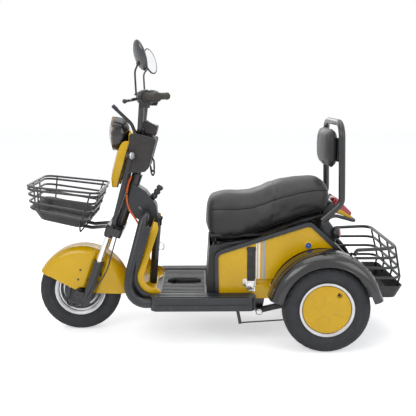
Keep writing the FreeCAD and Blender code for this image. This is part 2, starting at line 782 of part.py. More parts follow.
# Moulded gooseneck cover with its slot.
def make_neck_cover():
    cover = plate([(214, 548, 20), (246, 668, 12), (300, 632, 50), (346, 570, 40), (356, 484, 10),
                   (296, 480, 20)], fore, -33, 33)
    slot = plate([(262, 560, 5), (290, 520, 5), (300, 524, 5), (272, 566, 5)], fore, -34, 34)
    cover = cover.cut(slot)
    head = rod(on_head(0, 0, head_low - 30), on_head(0, 0, head_high + 30), head_radius + seat_gap)
    return cover.cut(head).cut(main_frame)


def make_neck_knob():
    knob_low = fore(0, 318, 582)
    knob_high = fore(0, 366, 652)
    along = knob_high - knob_low
    knob = [rod(knob_low, knob_high, 11)]
    for part in (0.35, 0.62, 0.88):
        knob.append(rod(knob_low + along * (part - 0.09), knob_low + along * (part + 0.09), 15))
    return joined(knob).cut(main_frame)


# The thick bumper tube that rings the leg shield.
def make_shield_bumper():
    corners = [(fore(0, 296, 528), 0), (fore(112, 300, 534), 40), (fore(172, 243, 312), 100),
               (fore(196, 228, 180), 75), (fore(204, step_front + 14, 182), 0)]
    half = tube(corners, 18)
    return half.fuse(mirrored(half))


def make_leg_shield():
    corners = [(fore(0, 338, 512), 0), (fore(0, 238, 205), 78), (fore(0, floor_front - seat_gap, 205), 0)]
    path = bent_wire(corners)
    start = corners[0][0]
    along = unit(corners[1][0] - start)
    thick = unit(along.cross(FreeCAD.Vector(1, 0, 0))) * 2.5
    side = FreeCAD.Vector(floor_half_width, 0, 0)
    section = Part.makePolygon([start - side - thick, start + side - thick, start + side + thick,
                                start - side + thick, start - side - thick])
    sheet = path.makePipeShell([section], True, False)
    front_view = wall([(-floor_half_width, 190, 0), (floor_half_width, 190, 0), (floor_half_width, 300, 60),
                       (104, 520, 30), (-104, 520, 30), (-floor_half_width, 300, 60)], fore, 200, 400)
    return sheet.common(front_view)


def make_floorboard():
    back = wheelbase + box_front - box_slope - seat_gap
    outline = rectangle(-floor_half_width, floor_front, floor_half_width, back, 6)
    top = slab(outline, fore, floor_top - floor_thick, floor_top)
    skirt = slab(outline, fore, rail_top, floor_top - floor_thick)
    inner = rectangle(-floor_half_width + 6, floor_front + 6, floor_half_width - 6, back - 6, 2)
    skirt = skirt.cut(slab(inner, fore, rail_top - 1, floor_top))
    parts = [top, skirt]
    count = int((floor_half_width - 12) // rib_pitch)
    for index in range(-count, count + 1):
        x = index * rib_pitch
        parts.append(Part.makeBox(rib_width, back - floor_front - 14, rib_height + 0.5,
                                  fore(x - rib_width / 2, floor_front + 7, floor_top - 0.5)))
    for x in (-rail_spread, rail_spread):
        parts.append(Part.makeBox(20, back - floor_front - 6, floor_top - rail_top - 1,
                                  fore(x - 10, floor_front + 3, rail_top)))
    board = joined(parts)
    slot = slab(rectangle(-slot_half_width, slot_front, slot_half_width, slot_front + slot_length, 30), fore,
                rail_top - 5, floor_top + 10)
    return board.cut(slot)


def make_side_steps():
    back = wheelbase + step_rear_gap
    outline = rectangle(step_inner, step_front, step_outer, back, 30)
    step = slab(outline, fore, step_low, step_top - 3)
    ribs = []
    for index in range(3):
        x = step_inner + 11 + index * 18
        ribs.append(Part.makeBox(11, back - step_front - 56, 3.5, fore(x, step_front + 28, step_top - 3.5)))
    groove = slab(rectangle(step_outer - 3, step_front - 20, step_outer + 20, back + 20, 0), fore, 184, 192)
    return joined([step.cut(groove)] + ribs)


steps = make_side_steps().cut(main_frame)
bumper = make_shield_bumper().cut(main_frame)
pieces["side_steps"] = both(steps)
pieces["shield_bumper"] = bumper.cut(pieces["side_steps"])
leg_shield = make_leg_shield().cut(main_frame).cut(bumper)
pieces["leg_shield"] = leg_shield
pieces["neck_cover"] = make_neck_cover().cut(bumper).cut(leg_shield)
pieces["neck_knob"] = make_neck_knob().cut(pieces["neck_cover"])
pieces["floorboard"] = make_floorboard().cut(main_frame)
hook = bar([(fore(0, 340, 392), 0), (fore(0, 376, 392), 10), (fore(0, 376, 360), 10), (fore(0, 352, 360), 10),
            (fore(0, 352, 378), 0)], 3.5)
pieces["bag_hook"] = hook.cut(main_frame)


# Box under the seat: an open tub with sloping front.
def make_seat_box():
    low = rail_top + 1
    outer = plate([(box_front - box_slope, low, 10), (box_back, low, 10), (box_back, box_high, 10),
                   (box_front + 6, box_high, 20)], aft, -box_half_width, box_half_width)
    inner = plate([(box_front - 4, low + box_wall, 8), (box_back - box_wall, low + box_wall, 8),
                   (box_back - box_wall, box_high + 30, 0), (box_front + 10, box_high + 30, 0)], aft,
                  -box_half_width + box_wall, box_half_width - box_wall)
    return outer.cut(inner)


# The outline that the edging and the panel share, measured from the rear axle.
edge_outline = [(-454, 190, 0), (-457, 385, 26), (-426, 404, 18), (-52, 524, 34), (70, 414, 10),
                (60, 398, 4), (40, 398, 0), (40, 190, 0)]


def inset_outline(band):
    return [(-454 + band, 190, 0), (-457 + band, 385 - band * 0.4, 22), (-426 + band * 0.7, 404 - band, 16),
            (-52 - band * 0.2, 524 - band * 1.25, 30), (70 - band * 1.5, 414 - band * 0.4, 10),
            (20, 378, 8), (20, 190, 0)]


def wheel_room(radius):
    centre = aft(0, 0, tyre_radius)
    return rod(centre - FreeCAD.Vector(arch_outer, 0, 0), centre + FreeCAD.Vector(arch_outer, 0, 0), radius)


def make_side_edge():
    low = box_half_width
    outer = plate(edge_outline, aft, low, low + edge_thick)
    inner = plate(inset_outline(edge_band), aft, low - 1, low + edge_thick + 1)
    return outer.cut(inner).cut(wheel_room(arch_radius - 8))


def make_side_panel():
    low = box_half_width
    face = low + panel_thick
    panel = plate(inset_outline(edge_band), aft, low, face)
    recess = plate(rectangle(-281, 250, -200, 275, 5), aft, face - 9, face + 1)
    return panel.cut(wheel_room(arch_radius - 8)).cut(recess)


side_edge = make_side_edge()
pieces["main_frame"] = floor_frame
pieces["seat_frame"] = seat_frame
pieces["rear_carrier"] = rear_carrier
pieces["seat_box"] = make_seat_box().cut(main_frame)
side_edge = side_edge.cut(main_frame).cut(steps)
pieces["side_edges"] = both(side_edge)
pieces["side_panels"] = both(make_side_panel().cut(side_edge).cut(main_frame).cut(steps))
battery_front = box_front + 22
pieces["battery"] = Part.makeBox(2 * battery_half_width, battery_long, battery_high,
                                 aft(-battery_half_width, battery_front, rail_top + 1 + box_wall)).cut(main_frame)

panel_face = box_half_width + panel_thick
strap = plate(rectangle(-319, 276, -285, 415, 2), aft, panel_face, panel_face + 3)
buckle = plate(rectangle(-335, 222, -282, 276, 4), aft, panel_face, panel_face + 6)
pieces["latches"] = both(Part.Compound([strap, buckle]))
pieces["seat_lock"] = rod(aft(panel_face, -60, 421), aft(panel_face + 4, -60, 421), 14)


def make_rear_guard(side):
    inner = side * arch_inner
    outer = side * arch_outer
    thick = side * arch_thick
    section = [(inner, arch_lip, 0), (inner, arch_radius, 0), (outer, arch_radius, arch_roll), (outer, arch_skirt, 0),
               (outer - thick, arch_skirt, 0), (outer - thick, arch_radius - arch_thick, arch_roll - arch_thick),
               (inner + thick, arch_radius - arch_thick, 0), (inner + thick, arch_lip, 0)]
    return turned(section, aft(0, 0, tyre_radius), -90 + arch_end, 180 - 2 * arch_end)


pieces["rear_guards"] = Part.Compound([make_rear_guard(1).cut(main_frame), make_rear_guard(-1).cut(main_frame)])


# Rear axle: tube, motor and gear housing, drum plates and swing arms on their pivots.
def make_rear_axle():
    centre = aft(0, 0, tyre_radius)
    reach = half_track - 36
    parts = [turned([(-reach, 0, 0), (-reach, 70, 0), (-reach + 18, 72, 4), (-reach + 26, 30, 6), (-78, 26, 6),
                     (-66, 66, 10), (36, 66, 6), (44, 54, 4), (96, 54, 8), (102, 26, 6), (reach - 26, 30, 6),
                     (reach - 18, 72, 4), (reach, 70, 0), (reach, 0, 0)], centre),
             rod(aft(-half_track - 12, 0, tyre_radius), aft(half_track + 12, 0, tyre_radius),
                 axle_radius - running_gap)]
    for side in (1, -1):
        x = side * (rail_spread + 22)
        arm = bar([(aft(x, 0, tyre_radius - 4), 0), (aft(x, -262, 118), 0)], 14)
        bush = rod(aft(side * (rail_spread + 4), -262, 118), aft(side * (rail_spread + 40), -262, 118), 16)
        spring_low = aft(x, -40, tyre_radius - 6)
        spring_high = aft(x, -70, 446)
        along = unit(spring_high - spring_low)
        spring = rod(spring_low, spring_high - along * 20, 8)
        coil = rod(spring_low + along * 40, spring_high - along * 50, 20)
        eye = rod(aft(side * (rail_spread + 8), -70, 446), aft(side * (rail_spread + 32), -70, 446), 11)
        top = rod(spring_high - along * 30, spring_high, 8)
        parts += [arm, bush, spring, coil, eye, top]
    return joined(parts)


pieces["rear_axle"] = make_rear_axle().cut(main_frame)
linkage = joined([rod(aft(70, -362, pedal_pivot), aft(150, -362, pedal_pivot), 8),
                  flat_bar(aft(130, -362, pedal_pivot), aft(130, -344, 62), 14, 8),
                  rod(aft(130, -344, 66), aft(130, -58, 84), 3),
                  flat_bar(aft(130, -58, 80), aft(130, -14, 150), 12, 6)])
pieces["brake_linkage"] = linkage.cut(pieces["rear_axle"]).cut(pieces["side_steps"]).cut(main_frame)


# Tail: fairing between the edgings, its lamp and the loop below it.
def make_tail():
    profile = plate([(0, 470, 0), (46, 540, 10), (92, 592, 8), (164, 506, 10), (112, 488, 30), (78, 420, 8),
                     (20, 420, 0)], aft, -120, 120)
    plan = slab([(-126, -10, 0), (126, -10, 0), (126, 40, 30), (64, 182, 30), (-64, 182, 30), (-126, 40, 30)],
                aft, 380, 640)
    return profile.common(plan)


def make_tail_lamp():
    profile = plate([(90, 606, 4), (176, 512, 8), (164, 505, 2), (92, 592, 2)], aft, -56, 56)
    return profile


def make_tail_loop():
    corners = [(aft(96, 50, 486), 0), (aft(78, 120, 488), 40), (aft(60, 176, 488), 25), (aft(-60, 176, 488), 25),
               (aft(-78, 120, 488), 40), (aft(-96, 50, 486), 0)]
    return bar(corners, 8)


tail_lamp = make_tail_lamp()
tail = make_tail().cut(main_frame)
pieces["tail_loop"] = make_tail_loop().cut(tail)
pieces["tail_fairing"] = tail.cut(pieces["side_edges"]).cut(tail_lamp)
pieces["tail_lamp"] = tail_lamp
rear_indicators = []
for side in (1, -1):
    lamp = rod(aft(side * 116, 52, 462), aft(side * 116, 88, 462), 24)
    rear_indicators.append(lamp.cut(pieces["tail_fairing"]).cut(pieces["side_edges"]).cut(main_frame))
pieces["rear_indicators"] = Part.Compound(rear_indicators)

# Backrest: an inverted U with a pad held ahead of it
backrest_corners = [(aft(backrest_half, -2, 526), 0), (aft(backrest_half, 80, 600), 45),
                    (aft(backrest_half, 72, backrest_high), 62), (aft(-backrest_half, 72, backrest_high), 62),
                    (aft(-backrest_half, 80, 600), 45), (aft(-backrest_half, -2, 526), 0)]
pad_plate = wall(rectangle(-152, 775, 152, 875, 6), aft, 58 + seat_gap, 66)
pieces["backrest_frame"] = tube(backrest_corners, backrest_tube).fuse(pad_plate).cut(main_frame)
pad = wall(rectangle(-142, 738, 142, 916, 46), aft, 20, 58)
pieces["backrest_pad"] = pad.cut(pieces["backrest_frame"])

# Seat: two-level cushion on a pan that is hinged at the front
seat_outline = [(-484, 458, 14), (-488, 560, 40), (-466, 622, 40), (-330, 618, 120), (-216, 660, 60),
                (-10, 698, 50), (38, 690, 34), (42, 600, 40), (30, 548, 20), (-60, 530, 60), (-250, 462, 80),
                (-290, 458, 10)]


def make_seat_cushion():
    solid = plate(seat_outline, aft, -seat_half_width, seat_half_width)
    across = wall([(-seat_half_width, 440, 0), (seat_half_width, 440, 0), (seat_half_width + 6, 560, 60),
                   (seat_half_width - 14, 720, 60), (-seat_half_width + 14, 720, 60),
                   (-seat_half_width - 6, 560, 60)], aft, -500, 60)
    return solid.common(across)


pieces["seat_cushion"] = make_seat_cushion()
pan = plate([(-476, 447, 2), (-300, 447, 6), (-250, 452, 40), (-60, 518, 40), (10, 536, 0), (10, 542, 0),
             (-62, 524.5, 40), (-252, 457.6, 40), (-476, 457.6, 0)], aft, -112, 112)
knuckle = cross_rod(aft, 44, hinge_back, hinge_height, 9)
pin_room = cross_rod(aft, 60, hinge_back, hinge_height, hinge_pin + running_gap)
ear_room = Part.makeBox(14, 52, 30, aft(47, -488, 434))
seat_pan = pan.cut(pieces["seat_cushion"]).cut(both(ear_room))
pieces["seat_base"] = seat_pan.fuse(knuckle).cut(pin_room)

# Rear basket: hoops (height, half width, rear reach) on a carrier, with its tray
rim_radius = 6.5
hoops = ((420.0, 212.0, 306.0, rim_radius), (372.0, 196.0, 320.0, 5.0), (328.0, 194.0, 329.0, 5.0),
         (284.0, 192.0, 336.0, 5.0))
basket_front = 104.0


def make_rear_basket():
    parts = []
    for height, half, reach, radius in hoops:
        front = 128.0 if radius == rim_radius else basket_front
        if radius == rim_radius:
            corners = [(aft(half, front, 386), 0), (aft(half, front + 6, height - 8), 14),
                       (aft(half, reach, height), 50),
                       (aft(-half, reach, height), 50), (aft(-half, front + 6, height - 8), 14),
                       (aft(-half, front, 386), 0)]
            parts.append(bar(corners, radius, 8))
        else:
            corners = [(aft(half, front, height), 20), (aft(half, reach, height), 45),
                       (aft(-half, reach, height), 45), (aft(-half, front, height), 20)]
            parts.append(ring_bar(corners, radius, 6))
    for part in (-0.75, -0.45, -0.15, 0.15, 0.45, 0.75):
        parts.append(bar([(aft(212 * part, 306, 420), 0), (aft(192 * part, 336, 284), 12),
                          (aft(186 * part, 326, 232), 0)], 3.5, 6))
    for side in (1, -1):
        for y in (170, 245):
            parts.append(bar([(aft(side * 212, y, 420), 0), (aft(side * 194, y, 372), 10),
                              (aft(side * 192, y, 232), 0)], 3.5, 6))
    return joined(parts)


rear_basket = make_rear_basket().cut(pieces["rear_guards"]).cut(main_frame)
pieces["rear_basket"] = rear_basket
tray_top = [aft(190, 106, 246), aft(190, tail_behind, 246), aft(-190, tail_behind, 246), aft(-190, 106, 246)]
tray_base = carrier_height + 10
tray_low = [aft(172, 122, tray_base), aft(172, tail_behind - 22, tray_base),
            aft(-172, tail_behind - 22, tray_base), aft(-172, 122, tray_base)]
rear_tray = make_tray(tray_top, tray_low, (30, 30, 30, 30), tray_wall)

pieces["rear_tray"] = rear_tray.cut(rear_basket).cut(main_frame)

# Loom along the steering head and the cable down to the front brake
loom = [(fore(29, 238, 700), 0), (fore(29, 214, 652), 40), (fore(30, 216, 560), 70), (fore(40, 262, 500), 50),
        (fore(44, 276, 470), 0)]
pieces["loom"] = cord(loom, 4.5).cut(pieces["neck_cover"]).cut(bumper).cut(main_frame)
cable = [(fore(64, 176, 448), 0), (fore(112, 158, 380), 80), (fore(112, 132, 280), 120),
         (fore(112, 20, tyre_radius - 42), 50), (fore(90, -50, tyre_radius - 54), 22),
         (fore(49.5, -57, tyre_radius - 34), 0)]
pieces["brake_cable"] = cord(cable, 3).cut(pieces["fork"]).cut(pieces["front_brake"])

os.makedirs("parts", exist_ok=True)
for name, shape in pieces.items():
    solids = len(shape.Solids)
    note = "" if shape.isValid() else "not valid"
    print(name, solids, round(shape.Volume / 1000.0, 1), note)
    shape.exportStep("parts/" + name + ".step")
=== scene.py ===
import bpy
import bmesh
import math
from mathutils import Matrix, Quaternion, Vector
from mathutils.bvhtree import BVHTree


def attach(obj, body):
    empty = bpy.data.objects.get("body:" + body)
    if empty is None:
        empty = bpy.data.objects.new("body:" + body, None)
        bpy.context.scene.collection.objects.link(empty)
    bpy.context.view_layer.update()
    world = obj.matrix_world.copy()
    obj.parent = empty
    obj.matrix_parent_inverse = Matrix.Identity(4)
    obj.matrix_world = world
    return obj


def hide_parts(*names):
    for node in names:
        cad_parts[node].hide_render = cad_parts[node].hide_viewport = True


# Electric tricycle: the finish of every surface, and the pieces that are modelled here.
# Metres, +Z up, the front towards -Y and the vehicle's left towards +X.
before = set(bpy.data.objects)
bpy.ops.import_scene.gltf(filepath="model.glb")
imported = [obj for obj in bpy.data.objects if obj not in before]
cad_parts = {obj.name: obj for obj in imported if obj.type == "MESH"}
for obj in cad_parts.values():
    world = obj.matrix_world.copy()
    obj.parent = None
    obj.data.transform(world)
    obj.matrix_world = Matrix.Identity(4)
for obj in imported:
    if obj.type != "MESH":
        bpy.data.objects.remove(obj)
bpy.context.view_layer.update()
print("stage: frame loaded,", len(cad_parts), "nodes")

wheelBase = 1.058
halfTrack = 267     # millimetres, as the places below
axleHigh = 182
frontY = -0.606
rearY = frontY + wheelBase
rake = math.radians(19.5)
forkOffset = 0.072


toLeft = Vector((1, 0, 0))
toTop = Vector((0, 0, 1))


# Places in millimetres, as on a drawing: back from the front axle, back from the rear axle.
def fore(x, y, z):
    return Vector((x / 1000, frontY + y / 1000, z / 1000))


def aft(x, y, z):
    return Vector((x / 1000, rearY + y / 1000, z / 1000))


# Ahead of the steering axis and up along it from the front axle.
def onHead(x, ahead, up):
    lead = ahead / 1000 - forkOffset
    rise = up / 1000
    return Vector((x / 1000, frontY + rise * math.sin(rake) - lead * math.cos(rake),
        axleHigh / 1000 + rise * math.cos(rake) + lead * math.sin(rake)))


def clamped(value):
    return max(0.0, min(1.0, value))


def flip(point):
    return Vector((-point[0], point[1], point[2]))


# Shader maths: a socket with the ordinary operators.
class Value:
    def __init__(self, kit, socket):
        self.kit = kit
        self.socket = socket

    def join(self, operation, other, swap=False):
        pair = (other, self) if swap else (self, other)
        node = self.kit.node("ShaderNodeMath", {"operation": operation}, {0: pair[0], 1: pair[1]})
        return Value(self.kit, node.outputs[0])

    def __add__(self, other):
        return self.join("ADD", other)

    def __sub__(self, other):
        return self.join("SUBTRACT", other)

    def __mul__(self, other):
        return self.join("MULTIPLY", other)

    def __rsub__(self, other):
        return self.join("SUBTRACT", other, swap=True)

    __radd__ = __add__
    __rmul__ = __mul__


# The nodes of one material, or of the world where that is given.
class Kit:
    def __init__(self, name, owner=None):
        self.owner = owner or bpy.data.materials.new(name)
        self.owner.use_nodes = True
        self.tree = self.owner.node_tree
        self.tree.nodes.clear()

    # Any node: its settings first, then the values or links of its sockets.
    def node(self, kind, settings=None, sockets=None):
        made = self.tree.nodes.new(kind)
        for key, value in (settings or {}).items():
            setattr(made, key, value)
        for key, value in (sockets or {}).items():
            self.feed(made.inputs[key], value)
        return made

    def feed(self, socket, value):
        if isinstance(value, Value):
            self.tree.links.new(value.socket, socket)
        elif isinstance(value, bpy.types.NodeSocket):
            self.tree.links.new(value, socket)
        else:
            socket.default_value = value

    def value(self, socket):
        return Value(self, socket)

    def maths(self, operation, first, second=0.0):
        return Value(self, self.node("ShaderNodeMath", {"operation": operation}, {0: first, 1: second}).outputs[0])

    def place(self):
        return self.node("ShaderNodeTexCoord").outputs["Object"]

    def noise(self, scale, detail=3.0, rough=0.55, stretch=None):
        vector = self.place()
        if stretch:
            vector = self.node("ShaderNodeMapping", None, {"Vector": vector, "Scale": stretch}).outputs[0]
        made = self.node("ShaderNodeTexNoise", None, {"Vector": vector, "Scale": scale, "Detail": detail,
            "Roughness": rough})
        return Value(self, made.outputs["Fac"])

    def cells(self, scale, feature="F1"):
        made = self.node("ShaderNodeTexVoronoi", {"feature": feature}, {"Vector": self.place(), "Scale": scale})
        return Value(self, made.outputs["Distance"])

    def rangeOf(self, value, low, high, newLow=0.0, newHigh=1.0):
        made = self.node("ShaderNodeMapRange", {"clamp": True}, {"Value": value, "From Min": low, "From Max": high,
            "To Min": newLow, "To Max": newHigh})
        return Value(self, made.outputs["Result"])

    def mixColour(self, factor, first, second):
        made = self.node("ShaderNodeMix", {"data_type": "RGBA"}, {"Factor": factor})
        self.feed(made.inputs[6], colour4(first))
        self.feed(made.inputs[7], colour4(second))
        return made.outputs[2]

    def bump(self, height, depth, distance=0.001):
        return self.node("ShaderNodeBump", None, {"Height": height, "Strength": depth,
            "Distance": distance}).outputs[0]

    def finish(self, sockets):
        shader = self.node("ShaderNodeBsdfPrincipled", None, sockets)
        self.node("ShaderNodeOutputMaterial", None, {"Surface": shader.outputs[0]})
        return self.owner

    # Where the camera, a reflection or a clear piece looks at the surroundings.
    def seenRays(self):
        rays = self.node("ShaderNodeLightPath").outputs
        either = self.maths("MAXIMUM", rays["Is Camera Ray"], rays["Is Glossy Ray"])
        return self.maths("MAXIMUM", either, rays["Is Transmission Ray"])


def colour4(value):
    if isinstance(value, (tuple, list)) and len(value) == 3:
        return (*value, 1.0)
    return value


# Moulded plastic: a fine grain, a slow drift of colour, dust in the light, handled spots smoother.
def mouldedFinish(name, spec):
    kit = Kit(name)
    drift = kit.noise(9.0, 4.0)
    colour = kit.mixColour(kit.rangeOf(drift, 0.35, 0.65), spec["dark"], spec["light"])
    dust = kit.rangeOf(kit.noise(38.0, 8.0, 0.7), 0.52, 0.78) * spec.get("dust", 0.10)
    colour = kit.mixColour(dust, colour, (0.36, 0.33, 0.29))
    rough = kit.rangeOf(kit.noise(22.0, 5.0), 0.3, 0.7, spec["rough"] - 0.05, spec["rough"] + 0.05)
    rough = rough + dust * 0.25
    grain = kit.cells(spec.get("grain", 900.0)) * 0.7 + kit.noise(spec.get("grain", 900.0) * 0.5, 2.0) * 0.3
    return kit.finish({"Base Color": colour, "Roughness": rough, "Specular IOR Level": spec.get("shine", 0.5),
        "Coat Weight": spec.get("coat", 0.0), "Coat Roughness": spec.get("coatRough", 0.06),
        "Normal": kit.bump(grain, spec.get("depth", 0.12), 0.0006)})


# Sprayed paint or polished plastic: faint orange peel under a clear coat, fine scratches.
def glossFinish(name, spec):
    kit = Kit(name)
    drift = kit.noise(5.0, 3.0)
    colour = kit.mixColour(kit.rangeOf(drift, 0.3, 0.7), spec["dark"], spec["light"])
    scuff = kit.rangeOf(kit.noise(60.0, 9.0, 0.75, (1.0, 6.0, 1.0)), 0.60, 0.72) * spec.get("scuff", 0.2)
    rough = kit.rangeOf(kit.noise(14.0, 4.0), 0.3, 0.7, spec["rough"] * 0.8, spec["rough"] * 1.25)
    rough = rough + scuff * 0.3
    peel = kit.noise(spec.get("peel", 240.0), 2.0)
    return kit.finish({"Base Color": colour, "Roughness": rough, "Metallic": spec.get("metal", 0.0),
        "Coat Weight": spec.get("coat", 0.8), "Coat Roughness": spec.get("coatRough", 0.04),
        "Specular IOR Level": spec.get("shine", 0.5), "Normal": kit.bump(peel, spec.get("depth", 0.03), 0.001)})


# Bare or plated metal: drawn or smooth, with smudges that dull it.
def metalFinish(name, spec):
    kit = Kit(name)
    smudge = kit.rangeOf(kit.noise(30.0, 6.0, 0.65), 0.42, 0.75)
    colour = kit.mixColour(smudge * 0.6, spec["light"], spec["dark"])
    rough = kit.rangeOf(smudge, 0.0, 1.0, spec["rough"], spec["rough"] + spec.get("roughDrift", 0.14))
    grain = kit.noise(spec.get("grain", 400.0), 4.0, 0.6)
    return kit.finish({"Base Color": colour, "Metallic": spec.get("metal", 1.0), "Roughness": rough,
        "Normal": kit.bump(grain, spec.get("depth", 0.05), 0.0006)})


# Tyre rubber: worn dark tread, a dusty bloom low on the sidewall, fine rings round the wheel's own centre.
def tyreFinish(name, centre):
    kit = Kit(name)
    axes = kit.node("ShaderNodeSeparateXYZ", None, {0: kit.place()})
    back = kit.value(axes.outputs[1]) - centre[1]
    up = kit.value(axes.outputs[2]) - centre[2]
    radius = kit.maths("SQRT", back * back + up * up)
    bloom = kit.rangeOf(radius, 0.176, 0.135) * kit.rangeOf(kit.noise(28.0, 7.0, 0.7), 0.35, 0.8)
    wear = kit.rangeOf(radius, 0.172, 0.181) * kit.rangeOf(kit.noise(55.0, 6.0), 0.3, 0.7)
    colour = kit.mixColour(bloom * 0.55, (0.022, 0.023, 0.026), (0.058, 0.058, 0.062))
    colour = kit.mixColour(wear * 0.5, colour, (0.085, 0.082, 0.078))
    rings = kit.maths("SINE", radius * 2600.0)
    ringZone = kit.rangeOf(radius, 0.118, 0.124) * kit.rangeOf(radius, 0.152, 0.146)
    height = rings * ringZone * 0.35 + kit.noise(700.0, 4.0) * 0.5
    rough = kit.rangeOf(kit.noise(18.0, 5.0), 0.3, 0.7, 0.62, 0.78)
    return kit.finish({"Base Color": colour, "Roughness": rough, "Specular IOR Level": 0.35,
        "Normal": kit.bump(height, 0.22, 0.0005)})


# Seat vinyl: pebbled grain with painted shade darkening the creases between the pebbles, worn smoother in broad
# patches.
def vinylFinish(name, spec):
    kit = Kit(name)
    pebble = kit.cells(spec["pebble"], "DISTANCE_TO_EDGE")
    crease = kit.rangeOf(pebble, 0.0, 0.12)
    pores = kit.noise(1500.0, 3.0, 0.6)
    patch = kit.rangeOf(kit.noise(7.0, 4.0), 0.35, 0.68)
    colour = kit.mixColour(patch, spec["dark"], spec["light"])
    # painted shade: the creases between the pebbles are darkened towards black
    colour = kit.mixColour((1 - crease) * 0.35, colour, (0.006, 0.006, 0.007))
    rough = kit.rangeOf(patch, 0.0, 1.0, spec["rough"] + 0.07, spec["rough"] - 0.05) + pores * 0.05
    height = crease * 0.75 + pores * 0.25
    return kit.finish({"Base Color": colour, "Roughness": rough, "Specular IOR Level": 0.45, "Coat Weight": 0.08,
        "Coat Roughness": 0.35, "Normal": kit.bump(height, 0.30, 0.0005)})


# Tinted lens plastic with moulded prisms behind a smooth skin.
def lensFinish(name, spec):
    kit = Kit(name)
    axes = kit.node("ShaderNodeSeparateXYZ", None, {0: kit.place()})
    prism = kit.maths("SINE", kit.value(axes.outputs[spec["across"]]) * spec["prisms"])
    prism = prism * kit.maths("SINE", kit.value(axes.outputs[2]) * spec["prisms"])
    colour = kit.mixColour(kit.rangeOf(prism, -1.0, 1.0), spec["dark"], spec["light"])
    return kit.finish({"Base Color": colour, "Roughness": 0.12, "Coat Weight": 0.9,
        "Coat Roughness": 0.03, "Transmission Weight": spec.get("clear", 0.25), "IOR": 1.49,
        "Normal": kit.bump(prism, spec.get("depth", 0.25), 0.0008)})


def clearFinish(name, tint, rough):
    kit = Kit(name)
    film = kit.rangeOf(kit.noise(26.0, 5.0), 0.3, 0.7, rough, rough + 0.05)
    return kit.finish({"Base Color": (*tint, 1.0), "Roughness": film, "Transmission Weight": 1.0, "IOR": 1.45,
        "Alpha": 1.0})


finishSpecs = {
    "yellow": {"dark": (0.57, 0.335, 0.0), "light": (0.68, 0.405, 0.0005), "rough": 0.27, "coat": 0.35,
        "scuff": 0.10, "depth": 0.02, "shine": 0.28},
    "blackGloss": {"dark": (0.006, 0.006, 0.007), "light": (0.010, 0.010, 0.012), "rough": 0.24, "coat": 0.5,
        "coatRough": 0.09, "scuff": 0.15, "depth": 0.02},
    "framePaint": {"dark": (0.007, 0.007, 0.008), "light": (0.012, 0.012, 0.013), "rough": 0.33, "coat": 0.3,
        "coatRough": 0.12, "scuff": 0.25, "peel": 320.0, "depth": 0.05},
    "wirePaint": {"dark": (0.006, 0.006, 0.007), "light": (0.011, 0.011, 0.012), "rough": 0.34, "coat": 0.3,
        "coatRough": 0.13, "scuff": 0.2, "peel": 420.0, "depth": 0.08},
    # mould: black plastic whose bluish tint is painted reflection of bluish highlights
    "mould": {"dark": (0.008, 0.009, 0.012), "light": (0.014, 0.016, 0.020), "rough": 0.38, "dust": 0.06,
        "depth": 0.12, "coat": 0.15, "coatRough": 0.3},
    "mouldDull": {"dark": (0.010, 0.010, 0.011), "light": (0.018, 0.018, 0.019), "rough": 0.52, "dust": 0.09,
        "depth": 0.20, "grain": 620.0},
    "dashBrown": {"dark": (0.014, 0.011, 0.010), "light": (0.022, 0.018, 0.016), "rough": 0.52, "dust": 0.06,
        "depth": 0.22, "grain": 560.0},
    # gripRubber: dark grip rubber whose olive-brown tint is painted reflection of the surroundings
    "gripRubber": {"dark": (0.020, 0.018, 0.012), "light": (0.034, 0.030, 0.020), "rough": 0.62, "dust": 0.05,
        "depth": 0.15, "grain": 700.0},
    "cast": {"dark": (0.030, 0.030, 0.032), "light": (0.055, 0.055, 0.058), "rough": 0.50, "metal": 0.4,
        "depth": 0.25, "grain": 260.0},
    "rimSilver": {"dark": (0.42, 0.42, 0.43), "light": (0.58, 0.58, 0.59), "rough": 0.28, "metal": 0.9,
        "depth": 0.05, "grain": 300.0},
    "chrome": {"dark": (0.62, 0.62, 0.64), "light": (0.86, 0.86, 0.88), "rough": 0.06, "roughDrift": 0.10,
        "depth": 0.01},
    "zinc": {"dark": (0.45, 0.44, 0.42), "light": (0.70, 0.69, 0.67), "rough": 0.26, "depth": 0.10},
    "seatVinyl": {"dark": (0.012, 0.012, 0.013), "light": (0.021, 0.020, 0.021), "rough": 0.44, "pebble": 620.0},
    "loom": {"dark": (0.62, 0.10, 0.012), "light": (0.78, 0.15, 0.02), "rough": 0.45, "dust": 0.08, "depth": 0.1},
    "cable": {"dark": (0.012, 0.012, 0.013), "light": (0.022, 0.022, 0.024), "rough": 0.40, "dust": 0.06,
        "depth": 0.06, "coat": 0.2, "coatRough": 0.3},
    "mirror": {"dark": (0.86, 0.87, 0.88), "light": (0.93, 0.94, 0.95), "rough": 0.015, "roughDrift": 0.02,
        "depth": 0.0},
    "lockBlue": {"dark": (0.010, 0.06, 0.26), "light": (0.016, 0.09, 0.34), "rough": 0.25, "coat": 0.6},
    "stripeWhite": {"dark": (0.76, 0.75, 0.70), "light": (0.84, 0.83, 0.80), "rough": 0.34, "coat": 0.4},
    "stripeGrey": {"dark": (0.30, 0.30, 0.32), "light": (0.38, 0.38, 0.40), "rough": 0.32, "coat": 0.4},
    "redPaint": {"dark": (0.20, 0.006, 0.006), "light": (0.32, 0.012, 0.010), "rough": 0.34, "coat": 0.4},
    "bronze": {"dark": (0.10, 0.065, 0.04), "light": (0.22, 0.15, 0.10), "rough": 0.22, "metal": 0.9,
        "depth": 0.02},
    "mirrorShell": {"dark": (0.018, 0.019, 0.022), "light": (0.034, 0.035, 0.039), "rough": 0.24, "coat": 0.6,
        "coatRough": 0.08, "scuff": 0.2, "depth": 0.02},
    "screen": {"dark": (0.010, 0.012, 0.016), "light": (0.020, 0.024, 0.030), "rough": 0.12, "coat": 0.8,
        "scuff": 0.3, "depth": 0.01},
    "blueBlack": {"dark": (0.014, 0.018, 0.030), "light": (0.024, 0.030, 0.048), "rough": 0.45, "dust": 0.05,
        "depth": 0.1},
}
